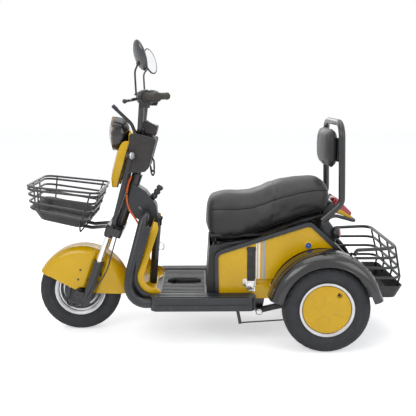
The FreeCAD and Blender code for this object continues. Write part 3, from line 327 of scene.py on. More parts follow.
# The record's slot that a finish belongs to, where a piece names none.
slotOf = {"yellow": "yellow_plastic", "blackGloss": "black_gloss", "framePaint": "black_metal",
    "wirePaint": "black_metal", "mould": "black_plastic", "mouldDull": "black_plastic",
    "dashBrown": "black_plastic", "blueBlack": "black_plastic", "cable": "black_plastic", "cast": "dark_cast",
    "chrome": "chrome", "zinc": "chrome", "seatVinyl": "seat_vinyl", "rimSilver": "rim_silver"}
finish = {}
for key in ("yellow", "blackGloss", "framePaint", "wirePaint", "lockBlue", "stripeWhite", "stripeGrey", "mirrorShell",
        "screen", "redPaint"):
    finish[key] = glossFinish(key, finishSpecs[key])
for key in ("mould", "mouldDull", "dashBrown", "gripRubber", "loom", "cable", "blueBlack"):
    finish[key] = mouldedFinish(key, finishSpecs[key])
for key in ("cast", "rimSilver", "chrome", "zinc", "mirror", "bronze"):
    finish[key] = metalFinish(key, finishSpecs[key])
finish["seatVinyl"] = vinylFinish("seatVinyl", finishSpecs["seatVinyl"])
finish["redLens"] = lensFinish("redLens", {"dark": (0.30, 0.001, 0.010), "light": (0.46, 0.003, 0.020), "across": 0,
    "prisms": 900.0, "clear": 0.0, "depth": 0.12})
finish["orangeLens"] = lensFinish("orangeLens", {"dark": (0.62, 0.13, 0.01), "light": (0.85, 0.22, 0.02), "across": 0,
    "prisms": 1100.0})
finish["smokeLens"] = lensFinish("smokeLens", {"dark": (0.34, 0.35, 0.38), "light": (0.62, 0.63, 0.66), "across": 0,
    "prisms": 1100.0, "clear": 0.35})
finish["lampGlass"] = clearFinish("lampGlass", (0.95, 0.96, 0.97), 0.02)
print("stage: finishes made,", len(finish))


def newObject(name, data):
    made = bpy.data.objects.new(name, data)
    bpy.context.scene.collection.objects.link(made)
    return made


# Opens a mesh in bmesh, works on it and writes it back.
def reworked(mesh, work):
    bm = bmesh.new()
    bm.from_mesh(mesh)
    work(bm)
    bm.to_mesh(mesh)
    bm.free()
    return mesh


def meshOf(name, part):
    mesh = bpy.data.meshes.new(name)
    mesh.from_pydata([tuple(v) for v in part[0]], [], part[1])
    return mesh


def facingOut(bm):
    bmesh.ops.recalc_face_normals(bm, faces=bm.faces)


# A part is its verts and its faces.
def addPiece(name, part, material, body, slot=None, smooth=True, node=None):
    mesh = meshOf(name, part)
    mesh.validate()
    return placePiece(name, reworked(mesh, facingOut), material, body, slot, smooth, node)


def placePiece(name, mesh, material, body, slot=None, smooth=True, node=None):
    piece = newObject(name, mesh)
    mesh.materials.append(finish[material])
    if smooth:
        mesh.polygons.foreach_set("use_smooth", [True] * len(mesh.polygons))
    if node:
        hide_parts(node)
    slot or slotOf[material]
    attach(piece, body)
    return piece


# Several vert and face lists as one.
def gathered(parts):
    verts, faces = [], []
    for partVerts, partFaces in parts:
        base = len(verts)
        verts += partVerts
        faces += [tuple(index + base for index in face) for face in partFaces]
    return verts, faces


def mirroredPart(part):
    return [flip(v) for v in part[0]], [tuple(reversed(face)) for face in part[1]]


def bothSides(part):
    return gathered([part, mirroredPart(part)])


# Points of a path whose corners (point, bend in metres) are rounded by tangent arcs.
def roundedPath(corners, closed=False, step=math.radians(9)):
    points = []
    for index, (point, bend) in enumerate(corners):
        atEnd = not closed and index in (0, len(corners) - 1)
        if atEnd or bend == 0:
            points.append(Vector(point))
            continue
        back = (Vector(corners[index - 1][0]) - point).normalized()
        ahead = (Vector(corners[(index + 1) % len(corners)][0]) - point).normalized()
        half = back.angle(ahead) / 2
        centre = point + (back + ahead).normalized() * (bend / math.sin(half))
        first = point + back * (bend / math.tan(half)) - centre
        turn = math.pi - 2 * half
        axis = back.cross(ahead).normalized()
        count = max(2, round(turn / step))
        for place in range(count + 1):
            points.append(centre + Quaternion(axis, -turn * place / count) @ first)
    return points


# The same on flat corners of (a, b, bend), with a step in degrees.
def flatPath(corners, step, closed=False):
    return roundedPath([(Vector((a, b, 0)), bend) for a, b, bend in corners], closed, math.radians(step))


# A tube of rings along points; radius is a number or a function of the part of the way, 0 to 1.
def tubePart(points, radius, sides=14, closed=False, roundEnd=True, flat=1.0):
    lengths = [0.0]
    for before, after in zip(points, points[1:]):
        lengths.append(lengths[-1] + (after - before).length)
    total = lengths[-1] or 1.0
    radiusAt = radius if callable(radius) else (lambda part: radius)
    tangents = []
    for index in range(len(points)):
        if closed:
            direction = points[(index + 1) % len(points)] - points[index - 1]
        else:
            direction = points[min(index + 1, len(points) - 1)] - points[max(index - 1, 0)]
        tangents.append(direction.normalized())
    side = tangents[0].orthogonal().normalized()
    if abs(tangents[0].x) < 0.9:
        side = tangents[0].cross(toLeft).normalized()
    verts, rows = [], []

    def ring(centre, tangent, across, size):
        over = tangent.cross(across).normalized()
        start = len(verts)
        for step in range(sides):
            turn = 2 * math.pi * step / sides
            verts.append(centre + across * (size * math.cos(turn)) + over * (size * flat * math.sin(turn)))
        rows.append(start)

    for index, (point, tangent) in enumerate(zip(points, tangents)):
        if index:
            side = (side - tangent * side.dot(tangent)).normalized()
        size = radiusAt(lengths[index] / total)
        if index == 0 and not closed and roundEnd:
            ring(point, tangent, side, size * 0.72)
            ring(point + tangent * size * 0.12, tangent, side, size * 0.93)
            ring(point + tangent * size * 0.32, tangent, side, size)
        elif index == len(points) - 1 and not closed and roundEnd:
            ring(point - tangent * size * 0.32, tangent, side, size)
            ring(point - tangent * size * 0.12, tangent, side, size * 0.93)
            ring(point, tangent, side, size * 0.72)
        else:
            ring(point, tangent, side, size)
    faces = []
    pairs = list(zip(rows, rows[1:])) + ([(rows[-1], rows[0])] if closed else [])
    for low, high in pairs:
        for step in range(sides):
            after = (step + 1) % sides
            faces.append((low + step, low + after, high + after, high + step))
    if not closed:
        faces.append(tuple(reversed(range(rows[0], rows[0] + sides))))
        faces.append(tuple(range(rows[-1], rows[-1] + sides)))
    return verts, faces


def tubeRun(corners, radius, sides=14, closed=False):
    return tubePart(roundedPath(corners, closed), radius, sides, closed)


# The same with corners of (x, y, z, bend in metres) placed by fore or aft.
def placedRun(place, corners, radius, sides=14, closed=False):
    return tubeRun([(place(x, y, z), bend) for x, y, z, bend in corners], radius, sides, closed)


# A turned form about a line: profile of (along, radius, bend), in metres.
def lathePart(profile, centre, axis=toLeft, sides=96, closed=False, step=18):
    points = flatPath(profile, step, closed)
    axis = axis.normalized()
    across = axis.cross(toTop)
    across = (across if across.length > 0.1 else axis.cross(Vector((0, 1, 0)))).normalized()
    over = axis.cross(across)
    verts, rows = [], []
    for point in points:
        start = len(verts)
        if abs(point.y) < 1e-6:
            verts.append(centre + axis * point.x)
            rows.append((start, 1))
            continue
        for index in range(sides):
            turn = 2 * math.pi * index / sides
            verts.append(centre + axis * point.x + (across * math.cos(turn) + over * math.sin(turn)) * point.y)
        rows.append((start, sides))
    faces = []
    pairs = list(zip(rows, rows[1:])) + ([(rows[-1], rows[0])] if closed else [])
    for (low, lowCount), (high, highCount) in pairs:
        for index in range(sides):
            after = (index + 1) % sides
            if lowCount == 1:
                faces.append((low, high + after, high + index))
            elif highCount == 1:
                faces.append((low + index, low + after, high))
            else:
                faces.append((low + index, low + after, high + after, high + index))
    return verts, faces


def millis(profile):
    return [(a / 1000, r / 1000, bend / 1000) for a, r, bend in profile]


# The same from a profile in millimetres.
def turned(profile, centre, axis=toLeft, sides=96, closed=False):
    return lathePart(millis(profile), centre, axis, sides, closed)


# A flat outline of (a, b, bend) in millimetres pushed through from low to high, its rims rounded.
def platePart(outline, place, plane, low, high, rim=1.5):
    def put(a, b, through):
        return {"side": lambda: place(through, a, b), "plan": lambda: place(a, b, through),
            "front": lambda: place(a, through, b)}[plane]()

    edge = flatPath(outline, 12, True)
    clean = [point for index, point in enumerate(edge) if (point - edge[index - 1]).length > 1e-4]
    area = sum(p.x * q.y - q.x * p.y for p, q in zip(clean, clean[1:] + clean[:1])) / 2
    turn = 1 if area > 0 else -1

    def inset(amount):
        ring = []
        for index, point in enumerate(clean):
            before = (point - clean[index - 1]).normalized()
            after = (clean[(index + 1) % len(clean)] - point).normalized()
            normal = Vector((-(before.y + after.y), before.x + after.x, 0)).normalized() * turn
            ring.append(point + normal * amount)
        return ring

    sense = 1 if high > low else -1
    steps = [(rim, low), (rim * 0.3, low + sense * rim * 0.3), (0, low + sense * rim), (0, high - sense * rim),
        (rim * 0.3, high - sense * rim * 0.3), (rim, high)]
    verts, rows = [], []
    for amount, through in steps:
        rows.append(len(verts))
        verts += [put(point.x, point.y, through) for point in inset(amount)]
    count = len(clean)
    faces = []
    for lowRow, highRow in zip(rows, rows[1:]):
        for index in range(count):
            after = (index + 1) % count
            faces.append((lowRow + index, lowRow + after, highRow + after, highRow + index))
    faces.append(tuple(reversed(range(rows[0], rows[0] + count))))
    faces.append(tuple(range(rows[-1], rows[-1] + count)))
    return verts, faces


# A sheet from rows of points.
def gridPart(rows, closedAcross=False):
    verts = [point for row in rows for point in row]
    count = len(rows[0])
    faces = []
    for r in range(len(rows) - 1):
        for c in range(count if closedAcross else count - 1):
            after = (c + 1) % count
            faces.append((r * count + c, r * count + after, (r + 1) * count + after, (r + 1) * count + c))
    return verts, faces


def addModifier(piece, kind, **settings):
    made = piece.modifiers.new(kind.title(), kind)
    for key, value in settings.items():
        setattr(made, key, value)
    return made


# Gives a sheet its thickness, and rounds its cut edges.
def thickened(piece, thickness, offset=-1.0, edge=0.0009):
    addModifier(piece, "SOLIDIFY", thickness=thickness, offset=offset)
    addModifier(piece, "BEVEL", width=edge, segments=2, limit_method="ANGLE", angle_limit=math.radians(60))


# A copy of a plain moulded node with its edges softened, which stands for the node.
def softened(node, material, body, width, angle=24, slot=None):
    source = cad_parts[node]
    mesh = source.data.copy()
    mesh.transform(source.matrix_world)

    def merge(bm):
        bmesh.ops.remove_doubles(bm, verts=bm.verts, dist=2e-5)
        bmesh.ops.dissolve_limit(bm, angle_limit=math.radians(1.5), verts=bm.verts, edges=bm.edges)

    reworked(mesh, merge)
    mesh.materials.clear()
    piece = placePiece(node + "_soft", mesh, material, body, slot, node=node)
    addModifier(piece, "BEVEL", width=width / 1000, segments=2, limit_method="ANGLE", angle_limit=math.radians(angle),
        harden_normals=False, use_clamp_overlap=True)
    addModifier(piece, "WEIGHTED_NORMAL", keep_sharp=True)
    return piece


# Takes a cutter's space out of a piece; the cutter itself is not kept.
def cutAway(piece, cutter):
    block = newObject("cutter", reworked(meshOf("cutter", cutter), facingOut))
    addModifier(piece, "BOOLEAN", operation="DIFFERENCE", object=block, solver="EXACT")
    bpy.context.view_layer.update()
    kept = settledMesh(piece)
    piece.modifiers.clear()
    piece.data = kept
    bpy.data.objects.remove(block)


def settledMesh(piece):
    graph = bpy.context.evaluated_depsgraph_get()
    return bpy.data.meshes.new_from_object(piece.evaluated_get(graph))


# Small dome-headed or hexagon bolts as one mesh: places and outward directions.
def boltPart(places, radius=0.004, high=0.003, sides=6, washer=1.5):
    parts = []
    for point, direction in places:
        direction = direction.normalized()
        parts.append(lathePart([(0, 0, 0), (0, radius * washer, 0), (high * 0.3, radius * washer, 0.0003),
            (high * 0.3, radius, 0)], point, direction, 24))
        parts.append(lathePart([(high * 0.3, radius, 0), (high, radius, 0.0006), (high * 1.1, radius * 0.6, 0),
            (high * 0.75, radius * 0.45, 0), (high * 0.75, 0, 0)], point, direction, sides))
    return gathered(parts)


# The camera of the photograph, worked out from its wheels and upright lines.
view = {"place": (2.648, -0.065, 1.065), "down": 7.03, "turn": 89.27, "focal": 51.92, "shift": -0.10}
lens = bpy.data.cameras.new("camera")
lens.sensor_width = 36.0
lens.lens = view["focal"]
lens.shift_y = view["shift"]
camera = newObject("camera", lens)
camera.location = view["place"]
camera.rotation_euler = (math.radians(90 - view["down"]), 0, math.radians(view["turn"]))
bpy.context.scene.camera = camera

# Cords: the orange loom along the steering head, and the cable down to the front brake.
cords = {
    "loom": {"points": [fore(29, 238, 700), fore(29, 214, 652), fore(30, 216, 560), fore(40, 262, 500),
            fore(44, 276, 470)], "diameter": 0.009, "finish": "loom", "slot": "loom_orange",
        "body": "chassis", "length": 0.245, "stiffness": "medium"},
    "brake_cable": {"points": [fore(64, 176, 448), fore(112, 158, 380), fore(112, 132, 280), fore(112, 20, 140),
            fore(90, -50, 128), fore(49.5, -57, 148)], "diameter": 0.006, "finish": "cable",
        "slot": "black_plastic", "body": "steering", "length": 0.46, "stiffness": "stiff"},
}


def addCord(name, spec):
    curve = bpy.data.curves.new(name + "_run", "CURVE")
    curve.dimensions = "3D"
    spline = curve.splines.new("NURBS")
    spline.points.add(len(spec["points"]) - 1)
    for point, place in zip(spline.points, spec["points"]):
        point.co = (*place, 1.0)
    spline.order_u = 3
    spline.use_endpoint_u = True
    curve.resolution_u = 24
    curve.use_fill_caps = True
    curve.bevel_depth = spec["diameter"] / 2
    curve.bevel_resolution = 5
    curve.materials.append(finish[spec["finish"]])
    run = newObject(name + "_run", curve)
    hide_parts(name)
    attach(run, spec["body"])
    tuple(spec["points"][0])


for name, spec in cords.items():
    addCord(name, spec)
print("stage: camera and cords")


# Tyre: rounded carcass, two zigzag grooves and slanted blocks on the shoulders.
tyreSpec = {"columns": 240, "blockEvery": 8, "blockWide": 2, "blockDeep": 0.0022, "grooveDeep": 0.0024}
tyreProfile = [(27.6, 104, 0), (27.6, 117, 3), (38.8, 134, 12), (39.8, 156, 16), (31, 173, 10), (19, 181.2, 20),
    (7.6, 182, 0), (7.2, 182, 0)]


def tyreRows():
    right = flatPath(millis(tyreProfile), 8)
    dense = [right[0]]
    for point in right[1:]:
        span = (point - dense[-1]).length
        for part in range(1, max(1, round(span / 0.0035)) + 1):
            dense.append(dense[-1] + (point - dense[-1]) * (1 / max(1, round(span / 0.0035) + 1 - part)))
    low = Vector((0.0072, 0.1820, 0))
    dense += [low + Vector((-0.0006, -tyreSpec["grooveDeep"], 0)), low + Vector((-0.0026, -tyreSpec["grooveDeep"],
        0)), Vector((0.0040, 0.1820, 0))]
    return dense + [Vector((-p.x, p.y, 0)) for p in reversed(dense)]


def makeTyre(node, body, centre):
    rows = tyreRows()
    count = tyreSpec["columns"]
    verts = []
    for point in rows:
        for column in range(count):
            turn = 2 * math.pi * column / count
            x, radius = point.x, point.y
            zig = 0.0011 * (1 if (column // 5) % 2 else -1) if abs(x) < 0.008 and radius < 0.1835 else 0.0
            slant = int(abs(x) * 260) if x > 0 else -int(abs(x) * 260)
            inBlock = (column + slant) % tyreSpec["blockEvery"] < tyreSpec["blockWide"]
            if inBlock and 0.012 < abs(x) < 0.036 and radius > 0.166:
                radius -= tyreSpec["blockDeep"]
                x *= 0.965
            verts.append(centre + Vector((x + zig, radius * math.cos(turn), radius * math.sin(turn))))
    faces = []
    for r in range(len(rows)):
        after = (r + 1) % len(rows)
        for c in range(count):
            d = (c + 1) % count
            faces.append((r * count + c, r * count + d, after * count + d, after * count + c))
    key = node + "Rubber"
    finish[key] = tyreFinish(key, centre)
    return addPiece(node + "_tread", (verts, faces), key, body, "tyre_rubber", node=node)


# Rim: stepped rings in the photograph, a rolled flange and a plain inner side. side is +1 or -1.
frontRim = [(30.4, 114, 1.2), (27.4, 112, 1.4), (24.5, 105, 2.5), (23.5, 100, 1.5), (17.5, 97, 2.5), (16, 90.5, 1.5),
    (5, 87, 5), (0, 82, 5), (-1.8, 58, 5), (-9.8, 48, 5), (-9.8, 34, 1), (11.6, 33.6, 2), (11.6, 12.5, 0),
    (-35.8, 12.5, 0), (-35.8, 33.6, 2), (-13.8, 34, 1), (-13.8, 49.5, 5), (-5.8, 58.5, 5)]
barrelBack = [(-5.8, 83, 4), (-18, 89.4, 5), (-26, 92, 4), (-27.2, 103.2, 1), (-27.6, 112.5, 1.4),
    (-30.4, 114.2, 1.2), (-30.9, 113, 0.5), (-27.5, 103, 1), (27.5, 103, 1), (30.9, 113, 0.5)]
rearRim = [(30.4, 114, 1.2), (27.6, 111.5, 1.5), (26.0, 105, 2), (24.0, 101.8, 1.5), (8, 101.2, 3), (4.6, 92, 5),
    (2.2, 58, 5), (-3.8, 48, 5), (-3.8, 34, 1), (13.6, 33.6, 2), (13.6, 12.5, 0), (-29.6, 12.5, 0), (-29.6, 33.6, 2),
    (-7.8, 34, 1), (-7.8, 49.5, 5), (-1.8, 58.5, 5)]
rimSpecs = {"front_rim": ("front_wheel", fore(0, 0, axleHigh), 1, frontRim),
    "rear_rim_left": ("rear_wheel_left", aft(halfTrack, 0, axleHigh), 1, rearRim),
    "rear_rim_right": ("rear_wheel_right", aft(-halfTrack, 0, axleHigh), -1, rearRim)}
for node, (body, centre, side, outline) in rimSpecs.items():
    part = turned(outline + barrelBack, centre, toLeft * side, 120, True)
    rim = addPiece(node + "_pressed", part, "rimSilver", body, node=node)
    addModifier(rim, "EDGE_SPLIT", split_angle=math.radians(50))
    makeTyre(node.replace("rim", "tyre"), body, centre)

# Hub caps: moulded yellow discs with six spokes pressed outwards and a hollow for the valve.
capSpec = {"spokes": 6, "spokeHalf": 2.6, "spokeFrom": 27, "spokeTo": 66, "rise": 2.0, "columns": 216, "hollow": 11.5,
    "hollowDeep": 10.0}
capProfile = [(17, 97, 0), (17, 100.2, 0.6), (23, 100.4, 1.5), (26.6, 98.2, 2), (27.6, 91.5, 1.5), (26.8, 90.2, 0.6),
    (27.8, 88.8, 0.8), (29.4, 60, 20), (30.4, 31, 4), (31.8, 27, 2), (32.0, 10, 3), (32.0, 0.4, 0)]


def makeCap(side):
    line = flatPath(capProfile, 12)
    dense = [line[0]]
    for before, after in zip(line, line[1:]):
        count = max(1, round((after - before).length / 2.4))
        dense += [before + (after - before) * (part / count) for part in range(1, count + 1)]
    rows = []
    for point in dense:
        ring = []
        for column in range(capSpec["columns"]):
            turn = 2 * math.pi * column / capSpec["columns"]
            y, z = math.cos(turn) * point.y, math.sin(turn) * point.y
            x = point.x
            if point.y < 88:
                spoke = 2 * math.pi / capSpec["spokes"]
                off = abs((turn + 0.35 + spoke / 2) % spoke - spoke / 2) * point.y
                inside = clamped((capSpec["spokeHalf"] + 1.4 - off) / 1.8)
                ends = clamped(min((capSpec["spokeTo"] - point.y) / 3, (point.y - capSpec["spokeFrom"]) / 3))
                x += capSpec["rise"] * inside * ends
                away = math.hypot(y - 50, z - 60)
                pit = clamped((capSpec["hollow"] - away) / 2.4)
                x -= capSpec["hollowDeep"] * pit * pit * (3 - 2 * pit)
            ring.append(aft(side * (halfTrack + x), y, axleHigh + z))
        rows.append(ring)
    return gridPart(rows, True)


for name, side in (("left", 1), ("right", -1)):
    addPiece("cap_" + name, makeCap(side), "yellow", "rear_wheel_" + name, node="hub_cap_" + name)
    root = aft(side * (halfTrack + 18), 50, axleHigh + 60)
    valve = turned([(0, 0, 0), (0, 4.6, 0), (4, 4.4, 1), (5, 3.2, 0.6), (11, 3.2, 0), (11, 3.8, 0.3),
        (14.5, 3.6, 0.8), (14.5, 0, 0)], root, Vector((side, 0.06, 0.1)), 24)
    addPiece("valve_" + name, valve, "cable", "rear_wheel_" + name)
frontValve = turned([(0, 0, 0), (0, 4.6, 0), (4, 4.4, 1), (5, 3, 0.6), (20, 3, 0), (20, 3.6, 0.3), (24, 3.4, 0.8),
    (24, 0, 0)], fore(-1, -34, axleHigh - 80), Vector((0.75, 0.25, 0.62)), 24)
addPiece("valve_front", frontValve, "cable", "front_wheel")
softened("front_brake", "cast", "steering", 1.4)
brakeBolts = boltPart([(fore(36, 44 * math.cos(t), axleHigh + 44 * math.sin(t)), toLeft) for t in (0.6, 2.7, 4.9)]
    + [(fore(47, -42, 206), toLeft)], 0.0045, 0.004)
addPiece("brake_bolts", brakeBolts, "zinc", "steering", "dark_cast", smooth=False)
print("stage: wheels made")


def insideOutline(point, outline):
    inside = False
    for (ay, az), (by, bz) in zip(outline, outline[1:] + outline[:1]):
        if (az > point[1]) != (bz > point[1]) and point[0] < (by - ay) * (point[1] - az) / (bz - az) + ay:
            inside = not inside
    return inside


# Front mudguard: a crowned sheet round the wheel whose skirts end on the outline below, fluted past the legs.
guardSpec = {"radius": 203, "half": 63.2, "crown": 36, "back": 12, "rows": 190, "skirt": 14}
guardOutline = [(-225, 275, 0), (-150, 274, 10), (-30, 187, 22), (4, 178, 12), (30, 186, 6), (34, 176, 5),
    (240, 176, 0), (240, 500, 0), (-225, 500, 0)]


def guardSection(lowRadius):
    half, crown, top = guardSpec["half"], guardSpec["crown"], guardSpec["radius"]
    column = []
    for step in range(guardSpec["skirt"]):
        column.append((half, lowRadius + (top - crown - lowRadius) * step / guardSpec["skirt"]))
    for step in range(13):
        turn = math.radians(90 * step / 12)
        column.append((half - crown + crown * math.cos(turn), top - crown + crown * math.sin(turn) ** 0.94))
    for step in range(1, 5):
        column.append(((half - crown) * (1 - step / 4), top + 0.0))
    return column + [(-x, r) for x, r in reversed(column[:-1])]


def makeFrontGuard():
    edge = [(p.x, p.y) for p in flatPath(guardOutline, 10, True)]
    rows = []
    legStart, legEnd = onHead(0, 30, -60), onHead(0, 30, 220)
    legLine = (legEnd - legStart).normalized()
    first, last = math.radians(-1.7), math.radians(152.4)
    for step in range(guardSpec["rows"] + 1):
        turn = last + (first - last) * step / guardSpec["rows"]
        y, z = math.cos(turn), math.sin(turn)
        low = 165.0
        while low > 26 and insideOutline((guardSpec["back"] + y * low, axleHigh + z * low), edge):
            low -= 1.0
        row = []
        for x, radius in guardSection(min(low, 160)):
            point = fore(x, guardSpec["back"] + y * radius, axleHigh + z * radius)
            flat = Vector((0, point.y - legStart.y, point.z - legStart.z))
            off = (flat - legLine * flat.dot(legLine)).length
            if abs(x) > 50:
                near = max(0.0, 1 - max(0.0, off - 0.019) / 0.016)
                point.x -= math.copysign(0.0085 * near * near * (3 - 2 * near), x)
            row.append(point)
        rows.append(row)
    guard = addPiece("front_guard_shell", gridPart(rows), "yellow", "steering", node="front_guard")
    thickened(guard, 0.0028, -1.0 if guard.data.polygons[0].normal.z > 0 else 1.0)


makeFrontGuard()
guardBolts = [(fore(side * 63.4, y, z), toLeft * side) for side in (1, -1)
    for y, z in ((10, 287), (-1, 243), (100, 262))]
addPiece("guard_bolts", boltPart(guardBolts, 0.0052, 0.0036), "cable", "steering", "black_metal", smooth=False)


# Rear mudguards: gloss arches with a rounded outer shoulder, a pressed band and a rolled lip.
rearGuardSpec = {"from": 9.5, "sweep": 161, "steps": 120, "lift": 5.0, "section": [(205, 209, 0), (205, 235, 6),
    (262, 236, 8), (268, 233.5, 4), (318, 233, 42), (317.5, 193, 3), (319, 189, 2), (318.4, 186, 1.2),
    (313, 186.4, 0)]}


def makeRearGuard(side):
    section = flatPath(rearGuardSpec["section"], 9)
    rows = []
    steps = rearGuardSpec["steps"]
    for step in range(steps + 1):
        turn = math.radians(rearGuardSpec["from"] + rearGuardSpec["sweep"] * step / steps)
        end = min(step, steps - step) / steps
        lift = 0.0 if end > 0.06 else (1 - end / 0.06) ** 2 * rearGuardSpec["lift"]
        rows.append([aft(side * p.x, math.cos(turn) * (p.y + lift), axleHigh + math.sin(turn) * (p.y + lift))
            for p in section])
    return gridPart(rows)


rearGuards = gathered([makeRearGuard(1), makeRearGuard(-1)])
guard = addPiece("rear_guard_shells", rearGuards, "blackGloss", "chassis", node="rear_guards")
thickened(guard, 0.003)
print("stage: mudguards made")


def carry(node, material):
    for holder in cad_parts[node].material_slots:
        holder.material = finish[material]


# Fork, frame and steps: the CAD forms with softened edges.
softSpecs = [("fork", "framePaint", "steering", 3.4, 24),
    ("fork_tubes", "chrome", "steering", 0.6, 50),
    ("main_frame", "framePaint", "chassis", 3.2, 24),
    ("seat_frame", "framePaint", "chassis", 2.6, 24),
    ("rear_carrier", "framePaint", "chassis", 2.2, 24),
    ("basket_bracket", "framePaint", "steering", 2.2, 24),
    ("lamp_stays", "framePaint", "steering", 1.2, 24),
    ("neck_cover", "mould", "chassis", 5.0, 24),
    ("side_steps", "mould", "chassis", 2.0, 24),
    ("seat_box", "mouldDull", "chassis", 1.5, 30),
    ("side_edges", "mould", "chassis", 5.0, 24),
    ("dash_box", "dashBrown", "steering", 3.5, 24),
    ("controls", "mouldDull", "steering", 2.0, 24),
    ("rear_tray", "mouldDull", "chassis", 1.2, 24),
    ("rear_axle", "cast", "chassis", 1.6, 24),
    ("brake_linkage", "framePaint", "chassis", 1.0, 24),
    ("seat_base", "mouldDull", "seat", 1.0, 24),
    ("battery", "mouldDull", "chassis", 3.0, 24, "battery_case"),
    ("floorboard", "mould", "chassis", 0.8, 24)]
for spec in softSpecs:
    softened(*spec)
for node, material in (("handlebar", "framePaint"), ("backrest_frame", "framePaint"), ("mirror_glass", "mirror")):
    carry(node, material)
print("stage: moulded pieces softened")

# Front basket: rings at five levels, uprights between the rim and the tray.
basketSpec = {"rim": ((-188.0, 676.0), (112.0, 645.0)), "low": ((-184.0, 580.0), (66.0, 522.0)), "half": 174.0,
    "taper": 24.0, "levels": (0.0, 0.13, 0.38, 0.7, 1.0), "wire": 5.0, "upright": 0.0035}


def basketLevel(level, partX, partY):
    (frontA, highA), (backA, deepA) = basketSpec["rim"]
    (frontB, highB), (backB, deepB) = basketSpec["low"]
    y = (frontA + (backA - frontA) * partY) * (1 - level) + (frontB + (backB - frontB) * partY) * level
    z = (highA + (deepA - highA) * partY) * (1 - level) + (highB + (deepB - highB) * partY) * level
    return fore((basketSpec["half"] - basketSpec["taper"] * level) * partX, y, z)


frontWires = []
for level in basketSpec["levels"]:
    corners = [(basketLevel(level, 1, 1), 0.030), (basketLevel(level, 1, 0), 0.045),
        (basketLevel(level, -1, 0), 0.045), (basketLevel(level, -1, 1), 0.030)]
    frontWires.append(tubeRun(corners, basketSpec["wire"] / 1000, 12, True))
for partX, partY in ((1, 0.17), (1, 0.9), (-1, 0.17), (-1, 0.9), (0.3, 0), (-0.3, 0), (0.6, 1), (0.2, 1), (-0.2, 1),
        (-0.6, 1)):
    frontWires.append(tubePart([basketLevel(0, partX, partY), basketLevel(0.5, partX, partY),
        basketLevel(1, partX, partY)], basketSpec["upright"], 10))
tray = softened("basket_tray", "mouldDull", "steering", 1.2)
trayHoles = []
for step in range(6):
    part = step / 5
    middle = Vector((-0.060 - 0.040 * part, frontY - 0.133 + 0.141 * part, 0.528 - 0.035 * part))
    trayHoles.append(tubePart([middle - Vector((0, 0, 0.02)), middle + Vector((0, 0, 0.02))], 0.0048, 18,
        roundEnd=False))
cutAway(tray, gathered(trayHoles))
addPiece("basket_wires", gathered(frontWires), "wirePaint", "steering", node="basket_frame")

# Rear basket: a thick rim, three hoops, and wires that turn under the tray.
hoops = ((419.0, 211.0, 305.0, 7.5), (372.0, 195.0, 319.0, 6.0), (328.0, 193.0, 328.0, 6.0),
    (284.0, 191.0, 335.0, 6.0))
rearWires = []
for height, half, reach, radius in hoops:
    if radius > 6:
        corners = [(aft(half, 128, 386), 0), (aft(half, 134, height - 8), 0.014), (aft(half, reach, height), 0.05),
            (aft(-half, reach, height), 0.05), (aft(-half, 134, height - 8), 0.014), (aft(-half, 128, 386), 0)]
        rearWires.append(tubeRun(corners, radius / 1000, 14))
    else:
        corners = [(aft(half, 104, height), 0.02), (aft(half, reach, height), 0.045),
            (aft(-half, reach, height), 0.045), (aft(-half, 104, height), 0.02)]
        rearWires.append(tubeRun(corners, radius / 1000, 12, True))
for part in (-0.86, -0.3, 0.3, 0.86):
    rearWires.append(placedRun(aft, [(212 * part, 306, 420, 0), (192 * part, 336, 284, 0.012),
        (186 * part, 326, 232, 0)], 0.0045, 10))
for side in (1, -1):
    rearWires.append(placedRun(aft, [(side * 202, 118, 398, 0), (side * 195, 116, 372, 0.01),
        (side * 191, 116, 232, 0)], 0.0045, 10))
addPiece("rear_basket_wires", gathered(rearWires), "wirePaint", "chassis", node="rear_basket")

hook = placedRun(fore, [(0, 340, 392, 0), (0, 376, 392, 0.01), (0, 376, 360, 0.01), (0, 352, 360, 0.01),
    (0, 352, 378, 0)], 0.0035, 12)
addPiece("hook_wire", hook, "chrome", "chassis", node="bag_hook")
loop = placedRun(aft, [(100, 26, 520, 0), (88, 68, 533, 0.05), (72, 112, 519, 0.05), (56, 164, 502, 0.022),
    (-56, 164, 502, 0.022), (-72, 112, 519, 0.05), (-88, 68, 533, 0.05), (-100, 26, 520, 0)], 0.0078, 14)
addPiece("tail_loop_tube", loop, "mould", "chassis", node="tail_loop")
print("stage: baskets made")

# Headlight: gloss bucket, thin bronze rim, reflector with its bulb, and a domed glass.
lampCentre = fore(0, 196, 887)
forward = Vector((0, -1, 0))
bucket = turned([(-33.5, 0, 0), (-33.5, 26, 10), (-24, 56, 18), (-6, 70, 16), (20, 76.4, 20), (35.6, 76.9, 1),
    (35.9, 72.6, 0.5), (28, 71.5, 1), (22, 70, 1), (6, 62, 6), (-8, 40, 8), (-16, 14, 3), (-16, 0, 0)], lampCentre,
    forward, 96)
boss = tubePart([lampCentre + Vector((0, 0.022, 0)), lampCentre + Vector((0, 0.038, -0.006)),
    lampCentre + Vector((0, 0.054, -0.018))], 0.014, 24, roundEnd=False)
addPiece("lamp_bucket", gathered([bucket, boss]), "blackGloss", "steering", node="headlight")
rim = turned([(30, 75.6, 1), (33, 77.0, 1), (37.5, 76.9, 1.2), (39.4, 74.6, 1), (38.2, 71.8, 0.8), (34, 73, 0.8)],
    lampCentre, forward, 96, True)
addPiece("lamp_rim", rim, "bronze", "steering", "chrome")
reflector = turned([(27, 71, 0), (22, 69, 4), (8, 61, 10), (-7, 39, 12), (-14, 15, 3), (-14, 9, 0)], lampCentre,
    forward, 72)
bulb = turned([(-15, 0, 0), (-15, 8, 0), (-4, 8, 1), (-4, 5.5, 1), (8, 6.5, 3), (15, 4.5, 3), (17, 0, 0)], lampCentre,
    forward, 32)
addPiece("lamp_reflector", reflector, "chrome", "steering")
addPiece("lamp_bulb", bulb, "smokeLens", "steering", "lamp_glass")
